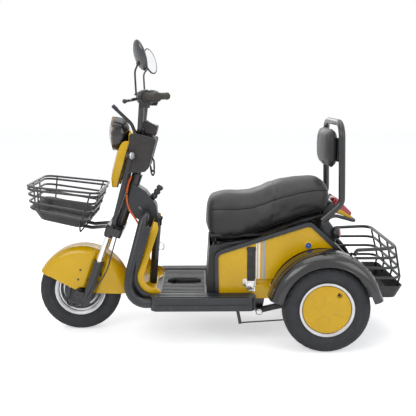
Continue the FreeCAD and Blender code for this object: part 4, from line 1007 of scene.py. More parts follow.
glass = turned([(53.6, 0, 0), (53.0, 20, 30), (49.5, 44, 30), (43, 62, 12), (37.6, 71.4, 3), (34.8, 71.6, 1),
    (34.8, 68, 1), (41, 60, 12), (46.5, 43, 30), (49.8, 20, 30), (50.4, 0, 0)], lampCentre, forward, 96)
addPiece("lamp_glass", glass, "lampGlass", "steering", "lamp_glass", node="headlight_lens")

# Mask: a moulded shell below the lamp, crowned across and rounded where it turns back.
maskSpec = {"wide": 72, "narrow": 48, "corner": 17, "crown": 9, "foot": 652, "flare": 150}
maskFront = [(152, 652, 0), (150, 690, 30), (184, 815, 60), (203, 864, 40), (238, 894, 22), (264, 894, 0)]
maskBack = [(176, 653, 0), (216, 786, 40), (236, 852, 30), (256, 880, 10), (265, 886, 0)]


def evenly(corners, count):
    line = flatPath(corners, 5)
    lengths = [0.0]
    for before, after in zip(line, line[1:]):
        lengths.append(lengths[-1] + (after - before).length)
    points, index = [], 0
    for step in range(count + 1):
        want = lengths[-1] * step / count
        while index < len(line) - 2 and lengths[index + 1] < want:
            index += 1
        part = (want - lengths[index]) / max(1e-6, lengths[index + 1] - lengths[index])
        points.append(line[index] + (line[index + 1] - line[index]) * part)
    return points


def maskHalf(z):
    rise = clamped((z - maskSpec["foot"]) / maskSpec["flare"])
    return maskSpec["narrow"] + (maskSpec["wide"] - maskSpec["narrow"]) * math.sin(rise * math.pi / 2)


maskRows = []
for ahead, behind in zip(evenly(maskFront, 70), evenly(maskBack, 70)):
    half = maskHalf(ahead.y)
    reach = (behind - ahead).length
    corner = min(maskSpec["corner"], reach * 0.8)
    inward = (behind - ahead).normalized()
    section = [(half, reach - (reach - corner) * step / 5) for step in range(5)]
    for step in range(9):
        turn = math.radians(90 * step / 8)
        section.append((half - corner + corner * math.cos(turn), corner - corner * math.sin(turn)))
    flat = half - corner
    crown = maskSpec["crown"]
    section += [(flat * part, -crown * (1 - part * part)) for part in (0.8, 0.55, 0.28)]
    section.append((0.0, -crown))
    section += [(-x, deep) for x, deep in reversed(section[:-1])]
    row = []
    for x, deep in section:
        spot = ahead + inward * max(deep, -min(crown, (ahead.x - 150) * 0.8))
        row.append(fore(x, spot.x, spot.y))
    maskRows.append(row)
mask = addPiece("mask_shell", gridPart(maskRows), "yellow", "steering", node="front_mask")
addModifier(mask, "SOLIDIFY", thickness=0.0028, offset=-1.0)
lampRoom = turned([(-37, 0, 0), (-37, 77.8, 0), (60, 77.8, 0), (60, 0, 0)], lampCentre, forward, 96)
cutAway(mask, lampRoom)
for side in (1, -1):
    edges = [fore(side * (maskHalf(point.y) + 0.5), point.x + 2, point.y) for point in evenly(maskBack, 40)]
    addPiece("mask_seam_" + ("left" if side > 0 else "right"), tubePart(edges, 0.0030, 10), "mould", "steering")

# Mask and dash box: a gloss bead round each side of the box, screws, and the pod's screen.
boxOutline = [(238, 884, 10), (262, 892, 6), (350, 864, 10), (332, 800, 10), (316, 742, 14), (300, 726, 12),
    (226, 722, 8), (236, 790, 30)]
beads = [tubeRun([(fore(side * 77.5, y, z), max(bend, 6) / 1000) for y, z, bend in boxOutline], 0.0024, 10, True)
    for side in (1, -1)]
addPiece("dash_beads", gathered(beads), "blackGloss", "steering")
dashScrews = boltPart([(fore(side * 78, y, z), toLeft * side) for side in (1, -1)
    for y, z in ((262, 868), (328, 850), (304, 744), (246, 740))], 0.0024, 0.0014)
addPiece("dash_screws", dashScrews, "cable", "steering", "black_metal", smooth=False)
screenSide = (fore(0, 356, 918) - fore(0, 300, 946)).normalized()
screenUp = Vector((0, -screenSide.z, screenSide.y)) * (1 if screenSide.y > 0 else -1)
screenMiddle = (fore(0, 356, 918) + fore(0, 300, 946)) / 2


def screenPart(halfX, halfY, lift, thick):
    return platePart([(-halfX, -halfY, 5), (halfX, -halfY, 5), (halfX, halfY, 5), (-halfX, halfY, 5)], lambda a, b,
        c: screenMiddle + Vector((a / 1000, 0, 0)) + screenSide * (b / 1000) + screenUp * (c / 1000), "plan", lift,
        lift + thick, 0.6)


addPiece("pod_bezel", screenPart(38, 24, -1.0, 2.2), "blackGloss", "steering")
addPiece("pod_screen", screenPart(31, 17, 0.6, 1.4), "screen", "steering", "black_gloss")

# Turn lamps: a black housing and a smoked lens.
turnWay = evenly(maskFront, 70)[-1]     # back and a little left on both sides, not forward: a known fault
turnLamps, turnLenses, turnRims = [], [], []
for side in (1, -1):
    middle = fore(side * 112, 244, 798)
    turnLamps.append(turned([(-17, 0, 0), (-17, 8, 4), (-10, 15.5, 5), (4, 17, 2), (6, 17, 0.5), (6, 0, 0)], middle,
        turnWay, 40))
    turnLamps.append(tubePart([fore(side * 79, 250, 798), fore(side * 96, 248, 798), fore(side * 108, 246, 798)],
        lambda part: 0.0085 - 0.0015 * part, 20))
    turnLenses.append(turned([(6, 0, 0), (6, 15.8, 0.5), (10, 15.4, 3), (16, 11, 6), (18, 0, 0)], middle, turnWay,
        40))
    turnRims.append(turned([(4.5, 17.2, 0.4), (7, 17.2, 0.6), (7.4, 15.9, 0.4), (4.5, 15.9, 0.3)], middle, turnWay,
        40, True))
addPiece("turn_housings", gathered(turnLamps), "mould", "steering", node="front_indicators")
addPiece("turn_lenses", gathered(turnLenses), "smokeLens", "steering", "indicator_lens")
addPiece("turn_rims", gathered(turnRims), "chrome", "steering")
print("stage: lamp and dash made")

# Handlebar ends: ribbed grips, lever blades, a hand lever with its blue-black sleeve.
tip, root = fore(335, 378, 1047), fore(205, 318, 1047)
along = (root - tip).normalized()
profile = [(-2, 0, 0), (-2, 13, 4), (1, 18, 3), (6, 18.5, 2)]
for step in range(13):
    start = 9 + step * 7.6
    profile += [(start, 16.2, 0.8), (start + 2.2, 16.9, 0.8), (start + 5.0, 16.9, 0.8)]
profile += [(111, 17, 1), (113, 21.6, 1.5), (118, 21.8, 1), (118, 11.2, 0)]
grip = turned(profile, tip, along, 48)
addPiece("grip_sleeves", bothSides(grip), "gripRubber", "steering", "grip_rubber", node="grips")
perch = tip + along * 0.174
lever = tubeRun([(perch + Vector((0.004, -0.010, -0.004)), 0), (perch + Vector((0.010, -0.044, -0.012)), 0.018),
    (perch + Vector((0.075, -0.047, -0.013)), 0.06), (perch + Vector((0.140, -0.056, -0.016)), 0)], 0.0058, 14)
ball = turned([(-9, 0, 0), (-8.4, 4, 3), (0, 8.8, 8), (8.4, 4, 3), (9, 0, 0)],
    perch + Vector((0.140, -0.056, -0.016)), Vector((1, -0.09, -0.03)), 28)
addPiece("lever_blades", bothSides(gathered([lever, ball])), "framePaint", "steering")
clampBolts = boltPart([(perch + Vector((0, 0.001, 0.0155)), toTop), (perch + Vector((-0.006, -0.0155, 0)),
    Vector((0, -1, 0)))], 0.0035, 0.003)
addPiece("clamp_bolts", bothSides(clampBolts), "zinc", "steering", smooth=False)
housing = []
start = tip + along * 0.1185
for offset in (0.004, 0.017, 0.030):
    housing.append(turned([(-1.1, 26.6, 0.3), (-1.1, 27.5, 0.4), (1.1, 27.5, 0.4), (1.1, 26.6, 0.3)],
        start + along * offset, along, 56, True))
button = start + along * 0.022 + Vector((0, 0.018, -0.030))
housing.append(turned([(0, 6, 0), (4, 5.6, 1), (4.6, 0, 0)], button, Vector((0, 1, 0.2)), 28))
housing.append(turned([(0, 4, 0), (3, 3.6, 1), (3.4, 0, 0)], button + Vector((0, -0.002, 0.018)), Vector((0, 1, 0.2)),
    24))
drum = turned([(-27, 12, 0), (-27, 22, 3), (-22, 30, 7), (-10, 32.5, 10), (14, 32.5, 10), (24, 27, 7), (29, 18, 3),
    (29, 12, 0)], fore(203, 316.5, 1045), along, 56, True)
dimple = turned([(0, 0, 0), (0, 3.4, 0.4), (1.2, 3.2, 0.5), (1.2, 1.6, 0.2), (0.4, 1.4, 0), (0.4, 0, 0)],
    fore(231, 294, 1049), Vector((0.55, -0.83, 0.1)), 20)
housing += [drum, dimple]
addPiece("switch_rings", bothSides(gathered(housing)), "mould", "steering")
handLever = placedRun(fore, [(60, 262, 884, 0), (62, 246, 930, 0.05), (66, 190, 985, 0.05), (68, 168, 1008, 0)],
    0.0076, 14)
sleeve = tubePart([fore(66.6, 186, 989.5), fore(67.4, 177, 999), fore(68.2, 166, 1010)], 0.0086, 18)
addPiece("hand_lever", handLever, "framePaint", "steering")
addPiece("hand_sleeve", sleeve, "blueBlack", "steering")
riserClamps = [turned([(-9, 14.6, 2), (-9, 16.4, 1.5), (9, 16.4, 1.5), (9, 14.6, 2)], fore(side * 40, 280, 896),
    toLeft, 36, True) for side in (1, -1)]
addPiece("riser_clamps", gathered(riserClamps), "cast", "steering")

# Mirrors: domed gloss shells with a soft rim, on bent stems with a nut at the foot.
mirrorSpec = {"tall": 64.0, "wide": 46.0, "turn": 30.0, "tilt": 17.0}


def mirrorParts():
    foot = tip + along * 0.162
    centre = Vector((foot.x + 0.044, frontY + 0.306, 1.212))
    turn = Matrix.Rotation(math.radians(mirrorSpec["turn"]), 3,
        "Z") @ Matrix.Rotation(math.radians(mirrorSpec["tilt"]), 3, "X")
    rows = []
    for deep, scale in ((-0.6, 0.905), (-1.2, 0.93), (-1.4, 0.965), (-0.6, 0.99), (1.5, 1.0), (5.0, 0.985),
            (8.5, 0.94), (12, 0.86), (15, 0.75), (17.4, 0.60), (19, 0.42), (19.8, 0.22), (20, 0.03)):
        ring = []
        for step in range(72):
            angle = 2 * math.pi * step / 72
            ring.append(centre + turn @ Vector((mirrorSpec["wide"] * scale * math.sin(angle) / 1000, -deep / 1000,
                mirrorSpec["tall"] * scale * math.cos(angle) / 1000)))
        rows.append(ring)
    shell = gridPart(rows, True)
    stemTop = centre + turn @ Vector((0, -0.016, -0.022))
    clamp = foot + Vector((0, -0.030, 0))
    stemLow = clamp + Vector((0, 0, 0.010))
    stem = tubeRun([(stemLow, 0), (Vector((clamp.x + 0.002, clamp.y - 0.004, 1.150)), 0.03), (stemTop, 0)], 0.004, 14)
    arm = tubePart([foot, foot + Vector((0, -0.016, 0.002)), clamp], 0.0085, 18)
    nut = turned([(0, 0, 0), (0, 8, 0.5), (7, 8, 0.8), (7, 5, 0), (16, 4.6, 1), (16, 0, 0)],
        clamp + Vector((0, 0, 0.006)), toTop, 6)
    knuckle = turned([(-8, 0, 0), (-8, 6, 2), (0, 7.5, 3), (9, 5, 2), (9, 0, 0)],
        stemTop + Vector((-0.001, -0.004, -0.006)), Vector((0.1, 0.1, 0.95)), 28)
    return shell, gathered([stem, nut, knuckle, arm])


shell, stem = mirrorParts()
addPiece("mirror_shells", bothSides(shell), "mirrorShell", "steering", "black_gloss", node="mirrors")
addPiece("mirror_stems", bothSides(stem), "framePaint", "steering")
print("stage: bars and mirrors made")

# Key straps that hang behind the dash box, the ringed knob, ties on the loom.
straps = []
for shift, low in ((0.0, 0.722), (9.0, 0.706)):
    straps.append(placedRun(fore, [(34 + shift, 322, 792, 0), (36 + shift, 338, 770, 0.02),
        (38 + shift, 340, low * 1000, 0.012), (38 + shift, 328, low * 1000, 0.012), (36 + shift, 322, 748, 0)],
        0.0034, 12))
addPiece("key_straps", gathered(straps), "mouldDull", "steering")
knobLow, knobHigh = fore(0, 318, 582), fore(0, 366, 652)
knobWay = knobHigh - knobLow
rings = [(0, 0, 0), (0, 11, 0)]
for part in (0.26, 0.53, 0.79):
    rings += [(part * 85, 11, 1), (part * 85 + 1, 15, 3), (part * 85 + 14.4, 15, 3), (part * 85 + 15.4, 11, 1)]
rings += [(84.6, 11, 2), (84.8, 0, 0)]
knob = turned(rings, knobLow, knobWay, 36)
addPiece("knob_rings", knob, "mould", "chassis", node="neck_knob")
ties = []
for y, z, lean in ((217, 622, Vector((0, -0.05, 1))), (246, 522, Vector((0.1, 0.55, -0.7)))):
    ties.append(turned([(-3.2, 4.4, 0.6), (-3.2, 5.7, 0.8), (3.2, 5.7, 0.8), (3.2, 4.4, 0.6)],
        fore(29.6 if z > 600 else 34, y, z), lean, 24, True))
addPiece("loom_ties", gathered(ties), "cable", "chassis")


# Soft pieces: a crowned shape of rounded sections, swelled as cloth, then its piping laid on the surface.
def smoothTable(table, at):
    if at <= table[0][0]:
        return table[0][1]
    for (a, low), (b, high) in zip(table, table[1:]):
        if at <= b:
            part = (at - a) / (b - a)
            part = part * part * (3 - 2 * part) * 0.5 + part * 0.5
            return low + (high - low) * part
    return table[-1][1]


seatShape = {
    "front": -486, "back": 42,
    "top": [(-486, 560), (-478, 596), (-460, 611), (-420, 617), (-350, 614), (-300, 617), (-250, 632), (-205, 653),
        (-150, 669), (-80, 682), (-20, 688), (14, 684), (32, 668), (42, 634)],
    "low": [(-486, 470), (-478, 440), (-462, 424), (-430, 421), (-370, 423), (-300, 440), (-250, 457), (-160, 489),
        (-60, 527), (0, 545), (28, 560), (42, 596)],
    "half": [(-486, 78), (-478, 100), (-460, 116), (-410, 127), (-330, 132), (-230, 130), (-160, 130), (-60, 132),
        (0, 129), (28, 120), (42, 96)],
}


def roundedSection(y, low, top, half, count, power=3.4, tuck=0.86):
    ring = []
    middle, reach = (top + low) / 2, (top - low) / 2
    for step in range(count):
        turn = 2 * math.pi * step / count
        c, s = math.cos(turn), math.sin(turn)
        x = half * math.copysign(abs(c) ** (2 / power), c)
        z = math.copysign(abs(s) ** (2 / (power if s > 0 else power + 4.0)), s)
        x *= 1 - (1 - tuck) * max(0.0, z) ** 1.6 - 0.08 * max(0.0, -z) ** 2
        crown = 5.0 * (1 - (x / half) ** 2) if z > 0 else 0
        ring.append((x, y, middle + z * reach + crown))
    return ring


def sectionBody(shape, place, stations, count, power=3.4):
    verts, faces = [], []
    for index in range(stations + 1):
        part = index / stations
        eased = part - math.sin(2 * math.pi * part) * 0.09
        y = shape["front"] + (shape["back"] - shape["front"]) * eased
        ring = roundedSection(y, smoothTable(shape["low"], y), smoothTable(shape["top"], y),
            smoothTable(shape["half"], y), count, power)
        verts += [place(*point) for point in ring]
    for row in range(stations):
        for column in range(count):
            after = (column + 1) % count
            faces.append((row * count + column, row * count + after, (row + 1) * count + after,
                (row + 1) * count + column))
    faces.append(tuple(range(count)))
    faces.append(tuple(stations * count + column for column in reversed(range(count))))
    return verts, faces


# Cloth swells the padding for twenty frames; no point then moves by more than the cap.
def swell(part, name, voxel, pressure, cap, frames=20):
    body = newObject(name + "_rough", meshOf(name + "_rough", part))
    made = body.modifiers.new("Remesh", "REMESH")
    made.mode = "VOXEL"
    made.voxel_size = voxel
    remeshed = settledMesh(body)
    body.modifiers.clear()
    body.data = remeshed
    start = [v.co.copy() for v in remeshed.vertices]
    cloth = body.modifiers.new("Cloth", "CLOTH")
    cloth.settings.use_pressure = True
    cloth.settings.uniform_pressure_force = pressure
    cloth.settings.quality = 4
    cloth.settings.effector_weights.gravity = 0
    cloth.settings.tension_stiffness = 26
    cloth.settings.compression_stiffness = 26
    cloth.point_cache.frame_start, cloth.point_cache.frame_end = 1, frames
    for step in range(1, frames + 1):
        bpy.context.scene.frame_set(step)
    swelled = settledMesh(body)
    body.modifiers.clear()
    body.data = swelled
    bpy.context.scene.frame_set(1)
    for vert, before in zip(swelled.vertices, start):
        move = vert.co - before
        if move.length > cap:
            vert.co = before + move.normalized() * cap
    finished = body.data
    bpy.data.objects.remove(body)

    def evenOut(bm):
        for _ in range(4):
            bmesh.ops.smooth_vert(bm, verts=bm.verts, factor=0.5, use_axis_x=True, use_axis_y=True, use_axis_z=True)

    return reworked(finished, evenOut)


# Pulls a groove into the mesh along a line of points, as a sewn seam does.
def sewSeam(mesh, line, width, depth, centre):
    for vert in mesh.vertices:
        near = min((vert.co - point).length for point in line)
        if near < width:
            pull = depth * (1 - (near / width) ** 2) ** 2
            vert.co += (centre(vert.co) - vert.co).normalized() * pull


def surfaceLine(mesh, starts, directions):
    tree = bmesh.new()
    tree.from_mesh(mesh)
    hull = BVHTree.FromBMesh(tree)
    found = []
    for start, direction in zip(starts, directions):
        hit = hull.ray_cast(start, direction)
        if hit[0] is not None:
            found.append((hit[0], hit[1]))
    tree.free()
    return found


def seatMiddle(point):
    y = (point.y - rearY) * 1000
    return aft(0, y, (smoothTable(seatShape["top"], y) + smoothTable(seatShape["low"], y)) / 2)


# Where a seam lies on the seat, from rays cast in from one side at (y, share of the height).
def seatSeam(mesh, side, spots):
    starts = []
    for y, share in spots:
        top, low = smoothTable(seatShape["top"], y), smoothTable(seatShape["low"], y)
        starts.append(aft(side * 320, y, low + (top - low) * share))
    return surfaceLine(mesh, starts, [Vector((-side, 0, 0))] * len(starts))


# The seam line of the upper panel runs along each side, a little below the shoulder.
def seamRuns(mesh, height):
    return [seatSeam(mesh, side, [(-470 + 500 * step / 69, height) for step in range(70)]) for side in (1, -1)]


seatSwell = {"voxel": 0.006, "pressure": 4.0, "cap": 0.010}
seatMesh = swell(sectionBody(seatShape, aft, 64, 72), "seat", **seatSwell)
sideSeams = seamRuns(seatMesh, 0.76)
lowerSeams = seamRuns(seatMesh, 0.10)
stepSeams = [seatSeam(seatMesh, side, [(-196 - 14 * (step / 25), 0.76 - 0.66 * (step / 25)) for step in range(26)])
    for side in (1, -1)]
crossStarts = [aft(x, -196 + abs(x) * 0.05, 820) for x in range(-118, 119, 8)]
crossSeam = surfaceLine(seatMesh, crossStarts, [Vector((0, 0, -1))] * len(crossStarts))
for run, width, depth in [(r, 0.011, 0.0030) for r in sideSeams] + [(r, 0.010, 0.0024)
        for r in lowerSeams] + [(r, 0.010, 0.0022) for r in stepSeams] + [(crossSeam, 0.012, 0.0022)]:
    sewSeam(seatMesh, [point for point, normal in run], width, depth, seatMiddle)
seatPiece = placePiece("seat_cover", seatMesh, "seatVinyl", "seat", node="seat_cushion")
addModifier(seatPiece, "SUBSURF", levels=1, render_levels=1)
piping = []
for run in sideSeams:
    piping.append(tubePart([point + normal * 0.0002 for point, normal in run], 0.0021, 10))
for run in lowerSeams:
    piping.append(tubePart([point + normal * 0.0001 for point, normal in run], 0.0014, 8))
addPiece("seat_piping", gathered(piping), "seatVinyl", "seat")
stitches = []
for run in stepSeams + [crossSeam]:
    for (point, normal), (following, other) in zip(run, run[1:]):
        way = following - point
        for part in (0.12, 0.62):
            first = point + way * part - normal * 0.0012
            stitches.append(tubePart([first, first + way * 0.30], 0.0006, 6))
addPiece("seat_stitches", gathered(stitches), "cable", "seat", "seat_vinyl")
print("stage: seat made")

# Backrest pad: a thick pill, fuller towards its middle, with a seam round its rim.
padShape = {"front": -142, "back": 142,
    "top": [(-142, 860), (-136, 884), (-120, 902), (-90, 910), (0, 913), (90, 910), (120, 902), (136, 884),
        (142, 860)],
    "low": [(-142, 800), (-136, 768), (-120, 750), (-90, 743), (0, 741), (90, 743), (120, 750), (136, 768),
        (142, 800)],
    "half": [(-142, 8), (-136, 13), (-120, 16.5), (-60, 19), (0, 20), (60, 19), (120, 16.5), (136, 13),
        (142, 8)]}


def padPlace(x, y, z):
    return aft(y, 45 + x - 2.0 * (1 - (y / 142) ** 2), z)


padSwell = {"voxel": 0.005, "pressure": 4.0, "cap": 0.009}
padMesh = swell(sectionBody(padShape, padPlace, 56, 48, 3.0), "pad", **padSwell)
rimRun = []
for step in range(97):
    turn = 2 * math.pi * step / 96
    c, s = math.cos(turn), math.sin(turn)
    x = 142 * math.copysign(abs(c) ** 0.62, c)
    z = 827 + 86 * math.copysign(abs(s) ** 0.62, s)
    rimRun.append(aft(x * 1.2, 46, 827 + (z - 827) * 1.2))
rimHits = surfaceLine(padMesh, rimRun, [(aft(0, 46, 827) - point).normalized() for point in rimRun])
sewSeam(padMesh, [point for point, normal in rimHits], 0.009, 0.0022, lambda point: aft(0, 40, 827))
padPiece = placePiece("backrest_cover", padMesh, "seatVinyl", "chassis", node="backrest_pad")
addModifier(padPiece, "SUBSURF", levels=1, render_levels=1)
padPiping = tubePart([point + normal * 0.0002 for point, normal in rimHits[:-1]], 0.0019, 10, True)
addPiece("backrest_piping", padPiping, "seatVinyl", "chassis")
print("stage: backrest pad made")


# Leg shield liner: its sides curl back, it runs down in a bend onto the floor and ends in a notch.
linerSpec = {"half": 166, "top": 106, "bendAt": 300, "headAt": 512, "curl": 11, "flange": 20, "end": 371,
    "notchEnd": 341, "notchIn": 62, "notchOut": 104}


def makeLiner():
    line = flatPath([(338, 512, 0), (238, 206, 78), (371, 206, 0)], 6)
    bendEnd = line[-2].x
    dense = []
    for before, after in zip(line, line[1:]):
        count = max(1, round((after - before).length / 9))
        dense += [before + (after - before) * (step / count) for step in range(count)]
    dense.append(line[-1])
    rows = []
    for index, point in enumerate(dense):
        way = (dense[min(index + 1, len(dense) - 1)] - dense[max(index - 1, 0)]).normalized()
        rear = Vector((-way.y, way.x, 0))
        fall = clamped((point.y - linerSpec["bendAt"]) / (linerSpec["headAt"] - linerSpec["bendAt"]))
        half = linerSpec["half"] + (linerSpec["top"] - linerSpec["half"]) * fall ** 1.1
        onFloor = clamped((point.x - bendEnd) / 40) if point.y < 207 else 0.0
        headFade = min(1.0, index / 4 + 0.35)
        flange = linerSpec["flange"] * (1 - onFloor) * headFade
        curl = linerSpec["curl"] * (1 - 0.7 * onFloor)
        section = [(half, flange + curl), (half, flange * 0.5 + curl)]
        for step in range(5):
            turn = math.radians(90 * step / 4)
            section.append((half - curl + curl * math.cos(turn), curl - curl * math.sin(turn)))
        inner = half - curl
        section += [(inner * part, -2.0 * (1 - part * part)) for part in (0.85, 0.7, 0.5, 0.3, 0.1)]
        section += [(-x, lift) for x, lift in reversed(section)]
        row = []
        for x, lift in section:
            y, z = point.x + rear.x * lift, point.y + rear.y * lift
            if point.x > bendEnd and point.y < 207:
                part = (point.x - bendEnd) / (linerSpec["end"] - bendEnd)
                reach = (abs(x) - linerSpec["notchIn"]) / (linerSpec["notchOut"] - linerSpec["notchIn"])
                end = linerSpec["notchEnd"] + (linerSpec["end"] - linerSpec["notchEnd"]) * clamped(reach)
                y = bendEnd + (end - bendEnd) * part
            row.append(fore(x, y, z))
        rows.append(row)
    return gridPart(rows)


liner = addPiece("shield_liner", makeLiner(), "yellow", "chassis", node="leg_shield")
thickened(liner, 0.0026, 0.0, 0.0008)

# Bumper tube, thicker than the frame, with a moulded web between it and the liner.
bumperSpec = {"radius": 0.0205, "webIn": -3, "webOut": 33, "webFrom": 162, "webTo": 174}
bumperCorners = [((0, 296, 528), 0), ((112, 300, 534), 40), ((172, 243, 312), 100), ((196, 228, 180), 75),
    ((204, 416, 182), 0)]
half = tubeRun([(fore(*place), bend / 1000) for place, bend in bumperCorners], bumperSpec["radius"], 22)
webLine = flatPath([(330, 500, 0), (238, 206, 78), (371, 206, 0)], 9)
inner, outer = [], []
for index, point in enumerate(webLine):
    way = (webLine[min(index + 1, len(webLine) - 1)] - webLine[max(index - 1, 0)]).normalized()
    away = Vector((way.y, -way.x, 0))
    inner.append((point.x + away.x * bumperSpec["webIn"], point.y + away.y * bumperSpec["webIn"], 0))
    outer.append((point.x + away.x * bumperSpec["webOut"], point.y + away.y * bumperSpec["webOut"], 0))
web = platePart(inner + outer[::-1], fore, "side", bumperSpec["webFrom"], bumperSpec["webTo"], 2)
addPiece("bumper_tube", bothSides(gathered([half, web])), "mould", "chassis", node="shield_bumper")
tongue = platePart([(-118, 326, 4), (118, 326, 4), (118, 372, 2), (-118, 372, 2)], fore, "plan", 199, 203.4, 0.8)
addPiece("floor_tongue", tongue, "mould", "chassis")

# Neck post's flared cup at its top, and the row of screws that hold the liner.
cup = turned([(-26, 18.4, 2), (-8, 18.4, 8), (6, 23, 5), (12, 24, 2), (12, 19, 2), (-26, 17.2, 0)], fore(0, 350, 500),
    Vector((0, 0.03, 1)), 40, True)
addPiece("post_cup", cup, "mould", "chassis")
linerScrews = boltPart([(fore(side * 84, 336 - 0.326 * drop + 3.2, 506 - drop), Vector((0, 0.95, -0.31)))
    for side in (1, -1) for drop in (26, 196)], 0.0042, 0.0026)
addPiece("liner_screws", linerScrews, "cable", "chassis", "black_metal", smooth=False)

# Side panels: thin stripes, the strap with its toggle buckle, and the lock.
softened("side_panels", "yellow", "chassis", 1.6)
stripeTable = [(-281, -276.6, "stripeWhite"), (-272, -264, "stripeWhite"), (-254, -241, "stripeGrey")]


def panelTop(y):
    return 389 + (y + 415.5) / 360.5 * 116 - 1.5


for index, (start, end, colour) in enumerate(stripeTable):
    outline = [(start, 277, 0.4), (end, 277, 0.4), (end, panelTop(end), 0.4), (start, panelTop(start), 0.4)]
    addPiece("panel_stripe_" + str(index), bothSides(platePart(outline, aft, "side", 169.9, 170.35, 0.1)), colour,
        "chassis", "yellow_plastic")


def latchPart():
    strap = [platePart([(-319, 262, 3), (-285, 262, 3), (-285, 400, 3), (-319, 400, 3)], aft, "side", 170.1, 173.2,
        1.1), platePart([(-321, 398, 4), (-283, 398, 4), (-283, 416, 5), (-321, 416, 5)], aft, "side", 170.1, 174.2,
        1.4)]
    for height in (286, 312, 338, 364):
        strap.append(tubePart([aft(173.0, -314, height), aft(173.0, -290, height)], 0.0013, 10))
    metal = [platePart([(-337, 246, 3), (-281, 246, 3), (-281, 276, 3), (-337, 276, 3)], aft, "side", 170.0, 171.6,
        0.5), platePart([(-322, 233, 4), (-290, 233, 4), (-286, 268, 5), (-326, 268, 5)], aft, "side", 173.2, 175.0,
        0.7), platePart([(-306, 221, 5), (-284, 221, 5), (-284, 244, 3), (-306, 244, 3)], aft, "side", 170.4, 172.2,
        0.6)]
    metal.append(placedRun(aft, [(174.4, -318, 262, 0), (176.6, -318, 238, 0.006), (174.8, -314, 226, 0.004),
        (174.8, -292, 226, 0.004), (176.6, -290, 238, 0.006), (174.4, -290, 262, 0)], 0.0016, 10))
    metal.append(tubePart([aft(173.6, -332, 264), aft(173.6, -284, 264)], 0.0026, 14))
    metal.append(placedRun(aft, [(172, -336, 270, 0), (176, -333, 258, 0.004), (172, -331, 248, 0)], 0.0022, 10))
    screws = boltPart([(aft(171.6, y, z), toLeft) for y, z in ((-331, 271), (-286, 271), (-301, 226))], 0.0026,
        0.0016)
    return gathered(strap), gathered(metal + [screws])


strapPart, metalPart = latchPart()
addPiece("latch_straps", bothSides(strapPart), "mouldDull", "chassis", node="latches")
addPiece("latch_toggles", bothSides(metalPart), "zinc", "chassis")
boss = turned([(-1, 0, 0), (-1, 18, 0), (0.6, 18, 2), (2.6, 15, 1.5), (2.6, 0, 0)], aft(170, -60, 421), toLeft, 48)
disc = turned([(2.4, 0, 0), (2.4, 12.6, 0), (3.8, 12.6, 0.8), (4.0, 9.0, 0.6), (3.4, 8.0, 0.6), (3.4, 4.2, 0.4),
    (4.2, 3.4, 0.3), (4.2, 0, 0)], aft(170, -60, 421), toLeft, 48)
slotPlate = platePart([(-61.0, 417.6, 0.8), (-59.0, 417.6, 0.8), (-59.0, 424.4, 0.8), (-61.0, 424.4, 0.8)], aft,
    "side", 174.1, 174.5, 0.15)
addPiece("lock_boss", boss, "yellow", "chassis", node="seat_lock")
addPiece("lock_disc", disc, "lockBlue", "chassis", "lock_blue")
addPiece("lock_slot", slotPlate, "zinc", "chassis")

# Tail: a yellow strip below the lamp, round indicators in dark housings.
wedge = platePart([(-4, 474, 8), (2, 516, 6), (26, 526, 8), (42, 508, 12), (66, 476, 10), (74, 440, 10), (60, 421, 8),
    (20, 421, 4)], aft, "side", -117, 117, 4)
support = platePart([(8, 500, 6), (28, 562, 8), (60, 588, 4), (90, 554, 4), (80, 538, 6), (50, 500, 10)], aft, "side",
    -55, 55, 3)
addPiece("tail_body", gathered([wedge, support]), "mould", "chassis", node="tail_fairing")
strip = platePart([(80, 550, 3), (94, 558, 3), (142, 527, 3), (152, 522, 4), (146, 512, 5), (84, 538, 6)], aft,
    "side", -64, 64, 2.5)
addPiece("tail_strip", strip, "yellow", "chassis")
lamp = platePart([(62, 590, 8), (78, 610, 8), (151, 538, 9), (143, 524, 6), (92, 556, 8)], aft, "side", -61, 61, 4)
addPiece("tail_lens", lamp, "redLens", "chassis", "red_lens", node="tail_lamp")
tailHousings, tailLenses = [], []
back = Vector((0, 1, 0))
for side in (1, -1):
    root = aft(side * 116, 52, 462)
    tailHousings.append(turned([(0, 0, 0), (0, 18, 6), (8, 23.4, 5), (26, 24, 1), (27, 22.6, 0.6), (22, 22.0, 0.6),
        (22, 0, 0)], root, back, 44))
    tailLenses.append(turned([(21.5, 0, 0), (21.5, 21.8, 0.4), (27, 23.4, 2), (33, 20, 6), (36, 0, 0)], root, back,
        44))
addPiece("tail_housings", gathered(tailHousings), "mould", "chassis", node="rear_indicators")
addPiece("tail_lenses", gathered(tailLenses), "orangeLens", "chassis", "indicator_lens")

# Springs over the rear dampers, axle nuts, pinch bolts and the crown's clamp bolts.
def coilPart(low, high, radius, wire, turns):
    way = high - low
    axis = way.normalized()
    across = axis.orthogonal().normalized()
    over = axis.cross(across)
    points = []
    for step in range(turns * 22 + 1):
        turn = 2 * math.pi * step / 22
        part = step / (turns * 22)
        points.append(low + way * part + (across * math.cos(turn) + over * math.sin(turn)) * radius)
    return tubePart(points, wire, 9)


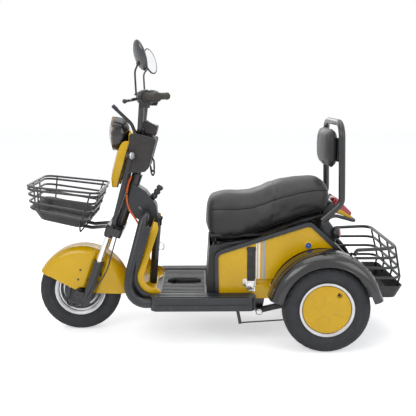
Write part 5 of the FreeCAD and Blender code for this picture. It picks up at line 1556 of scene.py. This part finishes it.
springSpec = {"radius": 0.0195, "wire": 0.0042, "turns": 8}
coils = [coilPart(aft(side * 117, -45, 222), aft(side * 117, -64, 396), springSpec["radius"], springSpec["wire"],
    springSpec["turns"]) for side in (1, -1)]
addPiece("rear_springs", gathered(coils), "redPaint", "chassis", "black_metal")
nuts = [(onHead(side * 88, 72, 0), toLeft * side) for side in (1, -1)]
addPiece("axle_nuts", boltPart(nuts, 0.0075, 0.006), "cast", "steering", smooth=False)
crownBolts = boltPart([(onHead(side * 100, 30, 324), toLeft * side) for side in (1, -1)], 0.004, 0.003)
addPiece("crown_bolts", crownBolts, "cast", "steering", smooth=False)
pivots = turned([(0, 0, 0), (0, 8, 0.6), (3, 8, 0.6), (3, 12.5, 0.6), (5, 12.5, 1), (5, 9, 0.5), (8, 8, 1),
    (8, 0, 0)], aft(135, -262, 118), toLeft, 32)
addPiece("pivot_bolts", bothSides(pivots), "zinc", "chassis")
print("stage: body details made")


# Studio: a pale floor, a large soft key from the left and above, a fill and a top light, a white surround.
studio = {"floorReach": 14, "floorGlow": 0.50, "white": (1.0, 1.0, 1.0, 1.0), "soft": (0.92, 0.94, 1.0, 1.0),
    "softPower": 0.62}


def addFloor():
    reach = studio["floorReach"]
    corners = [(-reach, -reach, 0), (reach, -reach, 0), (reach, reach, 0), (-reach, reach, 0)]
    mesh = meshOf("studio_floor", (corners, [(0, 1, 2, 3)]))
    floor = newObject("studio_floor", mesh)
    kit = Kit("floorPaper")
    tone = kit.mixColour(kit.noise(2.0), (0.80, 0.80, 0.80), (0.82, 0.82, 0.82))
    glow = kit.mixColour(kit.seenRays(), (0.0, 0.0, 0.0), (studio["floorGlow"],) * 3)
    mesh.materials.append(kit.finish({"Base Color": tone, "Roughness": 0.9, "Specular IOR Level": 0.1,
        "Emission Color": glow, "Emission Strength": 1.0}))


def addLight(name, place, target, size, power, colour=(1.0, 1.0, 1.0)):
    lamp = bpy.data.lights.new(name, "AREA")
    lamp.shape = "RECTANGLE"
    lamp.size, lamp.size_y = size
    lamp.energy = power
    lamp.color = colour
    holder = newObject(name, lamp)
    holder.location = place
    holder.rotation_euler = (Vector(target) - Vector(place)).to_track_quat("-Z", "Y").to_euler()


addFloor()
lights = (("key", (2.6, -1.9, 2.6), (0, 0, 0.5), (2.4, 1.8), 46),
    ("fill", (2.2, 2.6, 1.9), (0, 0.1, 0.5), (2.2, 2.0), 26),
    ("top", (0.0, 0.2, 3.4), (0, 0, 0), (3.2, 2.6), 40),
    ("far", (-2.8, -0.6, 2.2), (0, 0, 0.6), (2.4, 1.8), 24))
for spec in lights:
    addLight(*spec)

world = bpy.data.worlds.new("surround")
bpy.context.scene.world = world
kit = Kit("surround", world)
white = kit.node("ShaderNodeBackground", None, {"Color": studio["white"], "Strength": 1.0})
soft = kit.node("ShaderNodeBackground", None, {"Color": studio["soft"], "Strength": studio["softPower"]})
both = kit.node("ShaderNodeMixShader", None, {0: kit.seenRays(), 1: soft.outputs[0], 2: white.outputs[0]})
kit.node("ShaderNodeOutputWorld", None, {"Surface": both.outputs[0]})
bpy.context.scene.view_settings.view_transform = "Standard"
print("stage: studio set")
